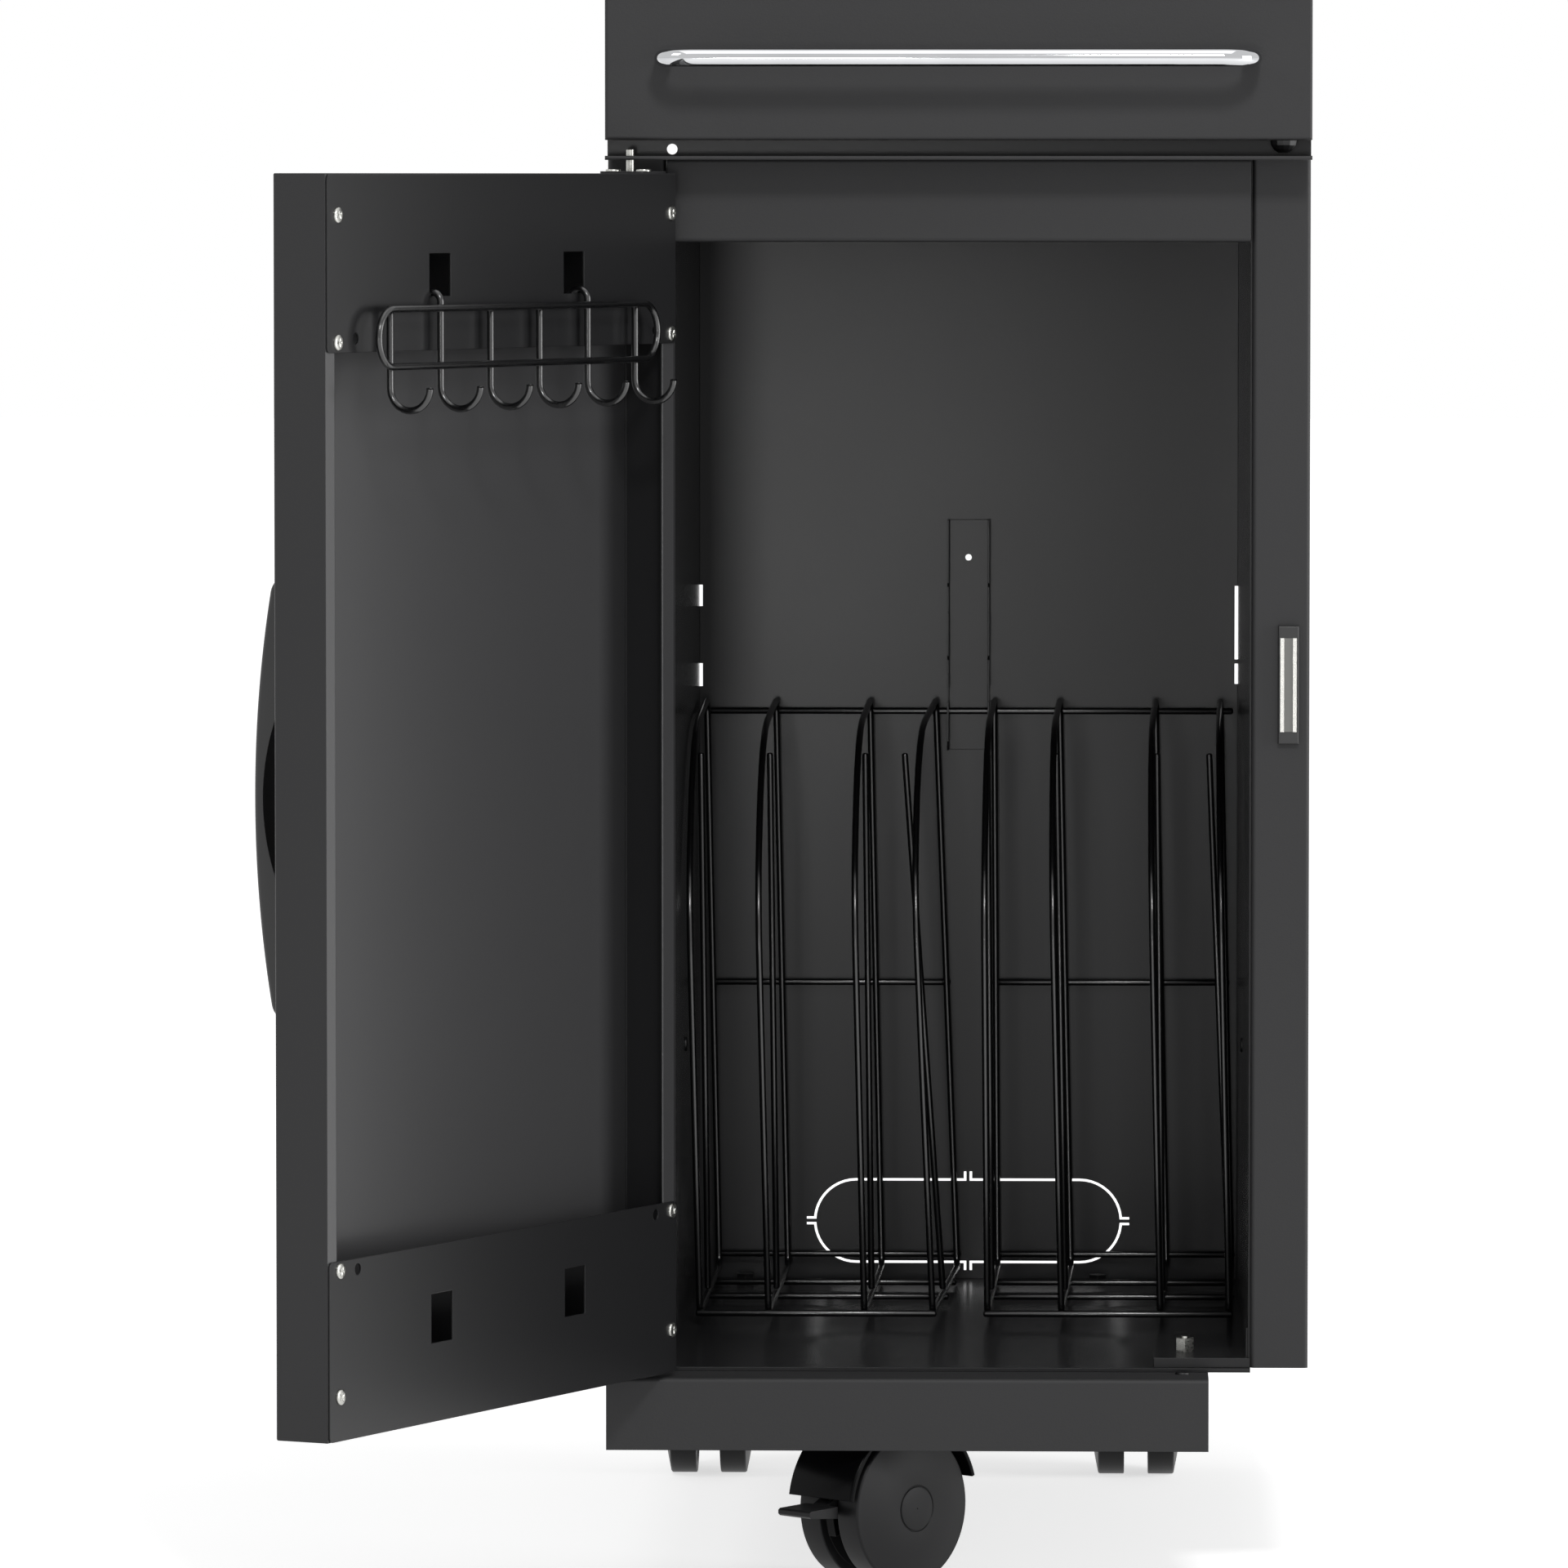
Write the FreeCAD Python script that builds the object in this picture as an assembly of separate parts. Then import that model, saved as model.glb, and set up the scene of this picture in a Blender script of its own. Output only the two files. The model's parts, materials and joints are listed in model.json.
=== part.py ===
import FreeCAD, Part
import math
import os
from FreeCAD import Vector as V

# Outdoor grill cart: a sheet-metal storage cabinet on twin-wheel casters.
# Millimetres. X runs across the front, left to right. Y runs from the front
# face to the back. Z is up from the floor. The design coordinates have X = 0 on
# the cabinet's centre plane and Y = 0 on the front face of the fascia.
# The finished pieces are moved together so that the origin is on the floor,
# below the middle of the whole cart as it stands with its door open.

# Overall sizes
cart_width = 407.0
cart_depth = 600.0
cart_height = 940.0
sheet = 1.2
bend = 1.5

# Heights of the shelves that cut the cabinet into storeys
base_top = 125.2
skirt_depth = 42.2
top_box_height = 108.0
fascia_gap = 9.1
skirt_bottom = base_top - skirt_depth
deck_top = cart_height - top_box_height
fascia_bottom = deck_top + fascia_gap

# Top box: worktop pan, fascia pan, web behind it, side skins and rear apron
worktop_lip = 16.0
fascia_return = 34.0
fascia_corner = 2.0
web_hole_diameter = 6.2
web_hole_x = -166.0
web_hole_height = 3.9
top_side_fold = 8.5
apron_gap = 18.0
bumper_diameter = 15.4
bumper_inset = 16.3
bumper_sides = 12
bumper_y = 20.0

# Towel bar on the fascia
bar_diameter = 10.2
bar_span = 348.0
bar_standoff = 40.0
bar_drop = 52.2
bar_height = cart_height - bar_drop
bar_bend = 18.0
bar_sides = 16

# Deck plate and header panel
deck_hem = 20.0
header_front = 36.0
header_drop = 47.4
header_return = 15.0

# Cabinet walls
wall_inner_face = 168.8
post_front = 38.5
post_return = 23.0
side_gap = 2.5
side_bottom = base_top + side_gap
rear_fold = 20.0
wall_front = 42.0
back_recess = 58.0
back_face = cart_depth - back_recess

# Floor panel, base pan and the fasteners in them
floor_front = 36.0
floor_hem = 20.0
floor_under = base_top
floor_top = floor_under + 2 * sheet
base_width = 349.0
rear_skirt = 23.0
floor_bolt_spread = 110.6
floor_bolt_gap = 17.0
floor_bolt_y = back_face - floor_bolt_gap
bolt_flats = 10.0
bolt_head = 4.5
wall_screw_y = 300.0
wall_screw_rise = 167.4
wall_screw_z = floor_top + wall_screw_rise
screw_head_diameter = 8.7
screw_head_height = 1.4
screw_head_sides = 12
foot_tab_inset = 31.5
foot_tab_depth = 55.0
foot_tab_lip = 5.7
foot_tab_front = 40.0
foot_bolt_inset = 13.1
foot_bolt_y = 75.0
foot_stud_diameter = 5.0
foot_nut_height = 8.0
foot_stud_height = 9.0
base_screw_inset = 14.9
base_screw_y = 27.6

# Hole, corner notches and knock-out in the back panel
bracket_hole_diameter = 4.0
notch_width = 2.0
notches_left = [(423.3, 436.7), (373.0, 387.4)]
notches_right = [(390.2, 436.3), (374.8, 387.6)]
knockout_width = 194.0
knockout_height = 53.6
knockout_rise = 36.4
knockout_z = floor_top + knockout_rise
knockout_slot = 1.6
knockout_bridge = 2.0
knockout_tick = 4.4

# Hanger bracket on the back panel
bracket_width = 26.6
bracket_depth = 16.0
bracket_below_wire = 24.5
bracket_above_wire = 120.0
bracket_hole_above_wire = 96.2
bracket_foot_cut = (4.0, 6.0)
bracket_entry_rise = 6.0
rack_lift = 12.0
lift_clearance = 1.5
bracket_steps = [(0.0, 23.2), (4.0, 23.2), (4.0, 32.4), (1.5, 34.9), (1.5, 62.1), (5.5, 62.1),
                 (5.5, 78.0), (3.0, 80.5)]

# Magnetic catch on the right post
catch_x = 191.2
catch_width = 12.0
catch_rise = 16.6
catch_height = 68.6
catch_gap = 0.3
strip_thickness = 2.2
strip_bar_length = 54.5
strip_spread = 7.3

# Door: an open pan on two pins
door_side_gap = 1.0
door_width = cart_width - 2 * door_side_gap
door_thickness = 34.0
door_sheet = 1.0
door_bottom_gap = 2.7
door_top_gap = 10.1
door_bottom = base_top + door_bottom_gap
door_top = deck_top - door_top_gap
door_middle = (door_bottom + door_top) / 2
catch_bottom = door_middle + catch_rise
door_corner = 2.0
pin_from_edge = 13.2
pin_from_face = 11.0
pin_diameter = 4.7
pin_above = 4.1
pin_top = deck_top + pin_above
pin_clearance = 0.1
pin_below = 6.0
door_open_angle = 115.8
hinge_flange = 15.1
latch_flange = 10.5
top_plate_height = 97.3
bottom_plate_height = 99.1
plate_screw_inset = 6.2
plate_screw_drops = [22.9, 92.3]
plate_screw_rises = [93.8, 24.4]
plate_screw_rows_top = [door_top - drop for drop in plate_screw_drops]
plate_screw_rows_bottom = [door_bottom + rise for rise in plate_screw_rises]
plate_hole_diameter = 6.5
plate_hole_inset = 26.0
plate_hole_drop = 90.2
plate_hole_rise = 93.1
plate_hole_row_top = door_top - plate_hole_drop
plate_hole_row_bottom = door_bottom + plate_hole_rise
slot_width = 24.0
slot_centres = [265.4, 110.4]
top_slot_drop = 68.0
top_slot_bottom = door_top - top_slot_drop
top_slot_height = 23.7
bottom_slot_rise = 44.1
bottom_slot_bottom = door_bottom + bottom_slot_rise
bottom_slot_height = 27.5
hinge_plate_length = 34.0
hinge_plate_width = 28.0
hinge_screw_spread = 20.0
washer_diameter = 11.0
washer_gap = 0.3

# Door handle: a bowed bar over a lens-shaped finger gap
handle_inset = 36.8
handle_u = door_width - pin_from_edge - handle_inset
handle_width = 20.0
handle_length = 245.6
handle_rise = 3.8
handle_bottom = door_middle + handle_rise - handle_length / 2
handle_end_rise = 17.0
handle_mid_rise = 29.0
handle_gap_length = 141.6
handle_gap_depth = 22.4
handle_edge = 3.0
handle_round = 9.0
handle_steps = 14

# Hook rack: six hooks on a long wire loop that hangs in the door's top slots
wire_diameter = 4.0
wire_sides = 8
weld_gap = 0.1
hook_count = 6
hook_pitch = 56.8
hook_first_u = 46.6
hook_hangers = [1, 4]
hook_stem_standoff = 5.0
hook_loop_width = 323.0
hook_loop_height = 31.7
hook_loop_below_slot = 22.3
hook_loop_z = top_slot_bottom - hook_loop_below_slot
hook_drop = 24.0
hook_radius = 12.5
hook_tip = 13.0
hanger_bend = 5.5
hanger_tail = 6.0
seat_clearance = 0.3

# Wire rack in the cabinet: two bays of four hoops
hoop_places = [-160.0, -116.7, -57.8, -13.5, 17.5, 61.0, 121.0, 161.5]
hoop_leans = [1.2, 1.2, 1.2, 2.2, 0.4, 1.2, 1.2, 1.2]
hoop_turns = [0.5, 0.9, 1.1, 2.4, 0.8, 1.1, 1.2, 1.0]
hoop_base_rise = 8.4
hoop_base_z = floor_top + hoop_base_rise
hoop_stand_off = 10.0
hoop_back_y = back_face - hoop_stand_off
hoop_back_height = 356.5
hoop_corner = 8.0
hoop_front_reaches = [(272.0, 0.0), (294.0, 252.0), (201.0, 345.5)]
hoop_front = [(hoop_back_y - reach, rise) for reach, rise in hoop_front_reaches]
hoop_front_radii = [8.0, 80.0, 200.0]
hoop_lean_rise = 179.0
upright_reach = 160.0
upright_y = hoop_back_y - upright_reach
upright_height = 332.0
upright_clearance = 0.3
upright_leans = [0.7, 0.7, 0.7, 4.1, 0.5, 1.0, 0.7, 2.3]
top_wire_rise = 349.5
top_wire_z = hoop_base_z + top_wire_rise
top_wire_reach = 166.0
mid_wire_rise = 179.0
low_wire_rise = 7.6
low_wire_reaches = [140.0, 55.0]
low_wire_ys = [hoop_back_y - reach for reach in low_wire_reaches]
cross_wire_end = 2.5
bend_step = 22.5
bend_error = 0.7

# Casters: twin wheels on a hooded housing that swivels below a plate
wheel_diameter = 90.6
wheel_inner = 7.5
wheel_tread = 16.5
wheel_dome = 4.5
wheel_cap_diameter = 26.0
wheel_cap_rise = 0.6
wheel_sides = 32
wheel_edge = 1.5
axle_diameter = 8.0
axle_clearance = 0.1
caster_trail = 25.0
hood_radius = 53.0
hood_thickness = 3.0
hood_width = 52.0
hood_start = 9.0
hood_end = 163.0
hood_step = 10.0
web_thickness = 6.0
web_radius = 44.0
nose_start = -20.0
tail_end = 200.0
hub_diameter = 20.0
hub_sides = 12
boss_diameter = 26.0
swivel_disc = 34.0
disc_thickness = 3.0
swivel_gap = 0.3
stem_diameter = 10.0
stem_clearance = 0.1
socket_height = 8.0
plate_length = 58.0
plate_width = 50.0
plate_thickness = 3.0
front_caster_shift = 2.5
front_caster_y = 71.0
front_caster_heading = 226.0
rear_caster_inset = 45.0
rear_caster_y = cart_depth - rear_caster_inset
rear_caster_spread = 135.0
rear_caster_heading = 90.0

# Brake lever on the front caster
lever_pivot_x = 34.0
lever_pivot_z = 6.7
lever_reach = 73.0
lever_eye = 5.5
lever_thickness = 5.0
lever_width = 12.0
lever_slot = 6.8
paddle_start = 50.0
paddle_width = 26.0
lever_pin_diameter = 5.0

# Sizes that follow from the ones above
half_width = cart_width / 2
box_top = cart_height - sheet
deck_under = deck_top - sheet
header_bottom = deck_under - header_drop - sheet
base_under = base_top - sheet
base_right = -half_width + base_width
base_centre = -half_width + base_width / 2
foot_tab_left = base_right - foot_tab_inset
foot_bolt_x = base_right - foot_bolt_inset
base_screw_x = base_right - base_screw_inset
wall_outer_face = wall_inner_face + sheet
wire_radius = wire_diameter / 2
weld_step = wire_diameter + weld_gap
pin_x = -half_width + (cart_width - door_width) / 2 + pin_from_edge
pin_y = pin_from_face
door_inner = door_thickness - pin_from_face
pan_inner = door_inner - door_sheet
door_latch_edge = door_width - pin_from_edge
wheel_radius = wheel_diameter / 2
wheel_outer = wheel_inner + wheel_tread + wheel_dome
swivel_top = base_under - plate_thickness - socket_height - swivel_gap

parts = {}


def keep(name, *solids):
    """File one or more solids under the name of their piece."""
    parts.setdefault(name, []).extend(solids)


def box(x0, x1, y0, y1, z0, z1):
    """A block between two corners."""
    return Part.makeBox(x1 - x0, y1 - y0, z1 - z0, V(x0, y0, z0))


def solid_between(rings, closed=False):
    """A solid of flat faces between rings of points, with end faces unless the rings close up."""
    faces = []
    following = rings[1:] + rings[:1] if closed else rings[1:]
    for near_ring, far_ring in zip(rings, following):
        for i in range(len(near_ring)):
            j = (i + 1) % len(near_ring)
            corners = []
            for point in (near_ring[i], near_ring[j], far_ring[j], far_ring[i]):
                if all((point - other).Length > 1e-6 for other in corners):
                    corners.append(point)
            if len(corners) > 2:
                faces.append(Part.Face(Part.makePolygon(corners + corners[:1])))
    if not closed:
        for ring in (rings[0], rings[-1]):
            faces.append(Part.Face(Part.makePolygon(ring + ring[:1])))
    shell = Part.makeShell(faces)
    shell.sewShape()
    solid = Part.makeSolid(shell)
    if solid.Volume < 0:
        solid.reverse()
    return solid


def prism(centre, axis, radius, length, sides):
    """A many-sided post whose corners lie on a circle, standing on a point along an axis."""
    side = V(1, 0, 0) if abs(axis.x) < 0.9 else V(0, 1, 0)
    first = axis.cross(side).normalize() * radius
    second = axis.cross(first).normalize() * radius
    ring = []
    for i in range(sides):
        angle = 2 * math.pi * (i + 0.5) / sides
        ring.append(centre + first * math.cos(angle) + second * math.sin(angle))
    return solid_between([ring, [point + axis * length for point in ring]])


def bend_points(points, radii):
    """Points along straight runs whose corners are bent in equal steps.

    No step turns further than bend_step, or leaves the round bend by more than
    bend_error.
    """
    path = [points[0]]
    for i in range(1, len(points) - 1):
        radius = radii[i] if isinstance(radii, (list, tuple)) else radii
        before = (points[i] - points[i - 1]).normalize()
        after = (points[i + 1] - points[i]).normalize()
        turn = before.getAngle(after)
        if radius <= 0 or turn < 1e-5:
            path.append(points[i])
            continue
        widest = 2 * math.degrees(math.acos(radius / (radius + bend_error)))
        count = math.ceil(math.degrees(turn) / min(bend_step, widest) - 0.01)
        step = turn / count
        start = points[i] - before * (radius * math.tan(turn / 2))
        inward = (after - before * math.cos(turn)).normalize()
        for k in range(count):
            angle = (k + 0.5) * step
            reach = radius / math.cos(step / 2)
            path.append(start + before * (reach * math.sin(angle))
                        + inward * (radius - reach * math.cos(angle)))
    path.append(points[-1])
    return path


def bent_wire(points, radii, across, closed=False, radius=0.0, sides=0):
    """Wire of flat sides bent along a flat path, with across square to the path's plane."""
    radius = radius or wire_radius
    sides = sides or wire_sides
    path = bend_points(points, radii)
    count = len(path)
    if closed:
        path = path[:-1]
        count -= 1
    corner = radius / math.cos(math.pi / sides)
    rings = []
    for i, point in enumerate(path):
        last = i == count - 1 and not closed
        first = i == 0 and not closed
        before = (point - path[i - 1]).normalize() if not first else None
        after = (path[(i + 1) % count] - point).normalize() if not last else None
        before = before or after
        after = after or before
        mean = (before + after).normalize()
        up = mean.cross(across).normalize()
        stretch = 1 / mean.dot(before)
        ring = []
        for k in range(sides):
            angle = (2 * k + 1) * math.pi / sides
            ring.append(point + across * (corner * math.cos(angle))
                        + up * (corner * math.sin(angle) * stretch))
        rings.append(ring)
    return solid_between(rings, closed)


def path_edges(points, radii, closed=False):
    """Straight runs through the points, joined by tangent arcs."""
    count = len(points)
    corners = []
    for i, point in enumerate(points):
        radius = radii[i] if isinstance(radii, (list, tuple)) else radii
        if radius <= 0 or (not closed and i in (0, count - 1)):
            corners.append((point, None, point))
            continue
        before = (point - points[i - 1]).normalize()
        after = (points[(i + 1) % count] - point).normalize()
        turn = before.getAngle(after)
        if turn < 1e-5:
            corners.append((point, None, point))
            continue
        cut = radius * math.tan(turn / 2)
        inward = (after - before).normalize()
        middle = point + inward * (radius / math.cos(turn / 2) - radius)
        corners.append((point - before * cut, middle, point + after * cut))
    edges = []
    for i in range(count):
        enter, middle, leave = corners[i]
        if middle is not None:
            edges.append(Part.Arc(enter, middle, leave).toShape())
        if i < count - 1 or closed:
            following = corners[(i + 1) % count][0]
            if (following - leave).Length > 1e-6:
                edges.append(Part.makeLine(leave, following))
    return edges


def folded_sheet(path, thickness, place, extrusion):
    """Sheet of one thickness folded along a centreline and extruded.

    The centreline is a list of flat (a, b) points. Both faces are offset by
    half the thickness, the inside of a bend has the bend radius and the
    outside is one thickness larger. place turns (a, b) into a point in space.
    """
    half = thickness / 2
    count = len(path)
    heading = []
    for i in range(count - 1):
        da = path[i + 1][0] - path[i][0]
        db = path[i + 1][1] - path[i][1]
        size = math.hypot(da, db)
        heading.append((da / size, db / size))
    left = []
    right = []
    left_radii = []
    right_radii = []
    for i, (a, b) in enumerate(path):
        before = heading[max(i - 1, 0)]
        after = heading[min(i, count - 2)]
        na = -before[1] - after[1]
        nb = before[0] + after[0]
        scale = 2 * half / (na * na + nb * nb)
        left.append((a + na * scale, b + nb * scale))
        right.append((a - na * scale, b - nb * scale))
        side = before[0] * after[1] - before[1] * after[0]
        if abs(side) < 1e-9:
            left_radii.append(0)
            right_radii.append(0)
        elif side > 0:
            left_radii.append(bend)
            right_radii.append(bend + thickness)
        else:
            left_radii.append(bend + thickness)
            right_radii.append(bend)
    outline = [place(a, b) for a, b in left + right[::-1]]
    radii = left_radii + right_radii[::-1]
    face = Part.Face(Part.Wire(path_edges(outline, radii, True)))
    return face.extrude(extrusion)


def edges_where(shape, test):
    """The edges of a shape whose bounding boxes pass a test."""
    return [edge for edge in shape.Edges if test(edge.BoundBox)]


def upright(bounds):
    """Whether an edge's box is a vertical line."""
    return bounds.XLength < 1e-3 and bounds.YLength < 1e-3


def facing(bounds, y):
    """Whether an edge's box lies in a plane square to Y."""
    return near(bounds.YMin, y) and near(bounds.YMax, y)


def near(value, target):
    """Whether a coordinate lies on a plane."""
    return abs(value - target) < 1e-4


def pan_head(centre, axis):
    """A pan-head screw's head, a plain disc standing on a face along an axis."""
    return prism(centre, axis, screw_head_diameter / 2, screw_head_height, screw_head_sides)


def hexagon(centre, flats, height):
    """A hexagon prism standing on a point."""
    radius = flats / math.sqrt(3)
    ring = []
    for i in range(7):
        angle = math.radians(60 * i + 30)
        ring.append(centre + V(radius * math.cos(angle), radius * math.sin(angle), 0))
    return Part.Face(Part.makePolygon(ring)).extrude(V(0, 0, height))


def mirrored(shape):
    """The same piece on the other side of the cabinet's centre plane."""
    return shape.mirror(V(0, 0, 0), V(1, 0, 0))


def build_top_box():
    """Worktop pan, fascia pan, web, side skins, apron, towel bar and bumper."""
    outer = fascia_corner + sheet
    work = box(-half_width - sheet, half_width + sheet, -sheet, cart_depth + sheet,
               cart_height - worktop_lip, cart_height)
    work = work.makeFillet(outer, edges_where(work, upright))
    work = work.makeFillet(sheet, edges_where(work, lambda b: near(b.ZMin, cart_height)))
    hollow = box(-half_width, half_width, 0, cart_depth, cart_height - worktop_lip - 1, box_top)
    hollow = hollow.makeFillet(fascia_corner, edges_where(hollow, upright))
    keep("worktop", work.cut(hollow))

    fascia = box(-half_width, half_width, 0, fascia_return, fascia_bottom, box_top)
    front = edges_where(fascia, lambda b: facing(b, 0) and not near(b.ZMin, box_top))
    fascia = fascia.makeFillet(fascia_corner, front)
    inside = box(-half_width + sheet, half_width - sheet, sheet, fascia_return + 1,
                 fascia_bottom + sheet, box_top - sheet)
    inner_front = edges_where(inside, lambda b: facing(b, sheet))
    inside = inside.makeFillet(fascia_corner - sheet, inner_front)
    keep("fascia_panel", fascia.cut(inside))

    web = box(-half_width, half_width, fascia_return, fascia_return + sheet, deck_top, box_top)
    hole_start = V(web_hole_x, fascia_return - 1, deck_top + web_hole_height)
    hole = Part.makeCylinder(web_hole_diameter / 2, sheet + 2, hole_start, V(0, 1, 0))
    keep("top_web", web.cut(hole))

    skin = half_width - sheet / 2
    side_front = fascia_return + sheet * 1.5
    side_rear = cart_depth - sheet / 2
    fold_end = half_width - top_side_fold
    path = [(fold_end, side_front), (skin, side_front), (skin, side_rear), (fold_end, side_rear)]
    right = folded_sheet(path, sheet, lambda a, b: V(a, b, deck_top), V(0, 0, box_top - deck_top))
    keep("top_side_right", right)
    keep("top_side_left", mirrored(right))

    apron = box(-half_width + sheet, half_width - sheet, cart_depth - 2 * sheet,
                cart_depth - sheet, deck_top + apron_gap, box_top)
    relief = bend + sheet
    for side in (-1, 1):
        edge = side * (half_width - sheet)
        low = min(edge, edge - side * relief)
        apron = apron.cut(box(low, low + relief, 0, cart_depth + 1, 0, cart_height))
    keep("top_rear_apron", apron)

    reach = bar_span / 2 - bar_diameter / 2
    bar = bent_wire([V(-reach, 0, bar_height), V(-reach, -bar_standoff, bar_height),
                     V(reach, -bar_standoff, bar_height), V(reach, 0, bar_height)],
                    bar_bend, V(0, 0, 1), False, bar_diameter / 2, bar_sides)
    keep("towel_bar", bar)

    radius = bumper_diameter / 2
    rings = []
    for height in (0.0, 22.5, 45.0, 67.5):
        level = fascia_bottom - weld_gap - radius * math.sin(math.radians(height))
        out = radius * math.cos(math.radians(height))
        turns = [2 * math.pi * i / bumper_sides for i in range(bumper_sides)]
        rings.append([V(half_width - bumper_inset + out * math.cos(t),
                        bumper_y + out * math.sin(t), level) for t in turns])
    keep("fascia_bumper", solid_between(rings))


def build_cabinet():
    """Deck, header, side skins with their posts, inner walls, back, floor and base."""
    deck = box(-half_width, half_width, 0, cart_depth, deck_under, deck_top)
    deck = deck.fuse(box(-half_width, half_width, 0, deck_hem, deck_under - sheet, deck_under))
    deck = deck.removeSplitter()
    lips = edges_where(deck, lambda b: facing(b, 0) and b.XLength > cart_width / 2)
    deck = deck.makeFillet(sheet * 0.8, lips)
    pin_hole = Part.makeCylinder(pin_diameter / 2 + pin_clearance, 4 * sheet,
                                 V(pin_x, pin_y, deck_under - 2 * sheet))
    keep("deck_plate", deck.cut(pin_hole))

    face = header_front + sheet / 2
    tail = header_front + header_return
    low = header_bottom + sheet / 2
    high = deck_under - sheet / 2
    path = [(tail, low), (face, low), (face, high), (tail, high)]
    header = folded_sheet(path, sheet, lambda a, b: V(-wall_inner_face, a, b),
                          V(2 * wall_inner_face, 0, 0))
    keep("header_panel", header)

    skin = half_width - sheet / 2
    jamb = wall_outer_face + sheet / 2
    front = post_front + sheet / 2
    rear = cart_depth - sheet / 2
    path = [(jamb, post_front + post_return), (jamb, front), (skin, front),
            (skin, rear), (half_width - rear_fold, rear)]
    right = folded_sheet(path, sheet, lambda a, b: V(a, b, side_bottom),
                         V(0, 0, deck_under - side_bottom))
    keep("side_panel_right", right)
    keep("side_panel_left", mirrored(right))

    wall = box(wall_inner_face, wall_outer_face, wall_front, back_face + sheet,
               floor_top, deck_under)
    keep("inner_wall_right", wall)
    keep("inner_wall_left", mirrored(wall))

    keep("back_panel", build_back_panel())
    keep("hanger_bracket", build_bracket())

    floor = box(-wall_outer_face, wall_outer_face, floor_front, back_face + sheet,
                floor_under + sheet, floor_top)
    hem_front = box(-wall_outer_face, wall_outer_face, floor_front, floor_front + floor_hem,
                    floor_under, floor_under + sheet)
    hem_rear = box(-wall_outer_face, wall_outer_face, back_face + sheet - floor_hem,
                   back_face + sheet, floor_under, floor_under + sheet)
    keep("floor_panel", floor.fuse([hem_front, hem_rear]).removeSplitter())

    high = base_top - sheet / 2
    front = sheet / 2
    path = [(front, skirt_bottom), (front, high), (rear, high), (rear, base_top - rear_skirt)]
    base = folded_sheet(path, sheet, lambda a, b: V(-half_width, a, b), V(base_width, 0, 0))
    pin_hole = Part.makeCylinder(pin_diameter / 2 + pin_clearance, 4 * sheet,
                                 V(pin_x, pin_y, base_top - 2 * sheet))
    keep("base_pan", base.cut(pin_hole))


def stadium(width, height, y, depth):
    """A long plate with round ends, standing in the plane of the back panel."""
    radius = height / 2
    reach = width / 2 - radius
    points = [V(-reach, y, knockout_z - radius), V(reach, y, knockout_z - radius),
              V(reach + radius, y, knockout_z), V(reach, y, knockout_z + radius),
              V(-reach, y, knockout_z + radius), V(-reach - radius, y, knockout_z)]
    wire = Part.Wire([Part.makeLine(points[0], points[1]),
                      Part.Arc(points[1], points[2], points[3]).toShape(),
                      Part.makeLine(points[3], points[4]),
                      Part.Arc(points[4], points[5], points[0]).toShape()])
    return Part.Face(wire).extrude(V(0, depth, 0))


def build_back_panel():
    """Back panel with its bracket hole, see-through corner notches and knock-out."""
    panel = box(-wall_inner_face, wall_inner_face, back_face, back_face + sheet,
                floor_top, deck_under)
    hole_z = top_wire_z + bracket_hole_above_wire
    cuts = [Part.makeCylinder(bracket_hole_diameter / 2, sheet + 2,
                              V(0, back_face - 1, hole_z), V(0, 1, 0))]
    for side, notches in ((-1, notches_left), (1, notches_right)):
        for low, high in notches:
            edge = side * wall_inner_face
            left = min(edge, edge - side * notch_width)
            cuts.append(box(left, left + notch_width, back_face - 1, back_face + sheet + 1,
                            floor_top + low, floor_top + high))
    y = back_face - 1
    depth = sheet + 2
    inner_width = knockout_width - 2 * knockout_slot
    inner_height = knockout_height - 2 * knockout_slot
    ring = stadium(knockout_width, knockout_height, y, depth)
    ring = ring.cut(stadium(inner_width, inner_height, y, depth))
    half_bridge = knockout_bridge / 2
    tick_far = half_bridge + knockout_slot
    tall = knockout_height
    wide = knockout_width
    ring = ring.cut(box(-half_bridge, half_bridge, y, y + depth,
                        knockout_z - tall, knockout_z + tall))
    ring = ring.cut(box(-wide, wide, y, y + depth,
                        knockout_z - half_bridge, knockout_z + half_bridge))
    ticks = []
    for side in (-1, 1):
        inside = knockout_height / 2 - knockout_slot
        outside = knockout_height / 2 + knockout_tick
        z0 = min(side * inside, side * outside) + knockout_z
        z1 = max(side * inside, side * outside) + knockout_z
        for flank in (-1, 1):
            x0 = min(flank * half_bridge, flank * tick_far)
            ticks.append(box(x0, x0 + knockout_slot, y, y + depth, z0, z1))
        inside = knockout_width / 2 - knockout_slot
        outside = knockout_width / 2 + knockout_tick
        x0 = min(side * inside, side * outside)
        x1 = max(side * inside, side * outside)
        for flank in (-1, 1):
            z0 = knockout_z + min(flank * half_bridge, flank * tick_far)
            ticks.append(box(x0, x1, y, y + depth, z0, z0 + knockout_slot))
    cuts.append(ring.fuse(ticks))
    return panel.cut(cuts)


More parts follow.
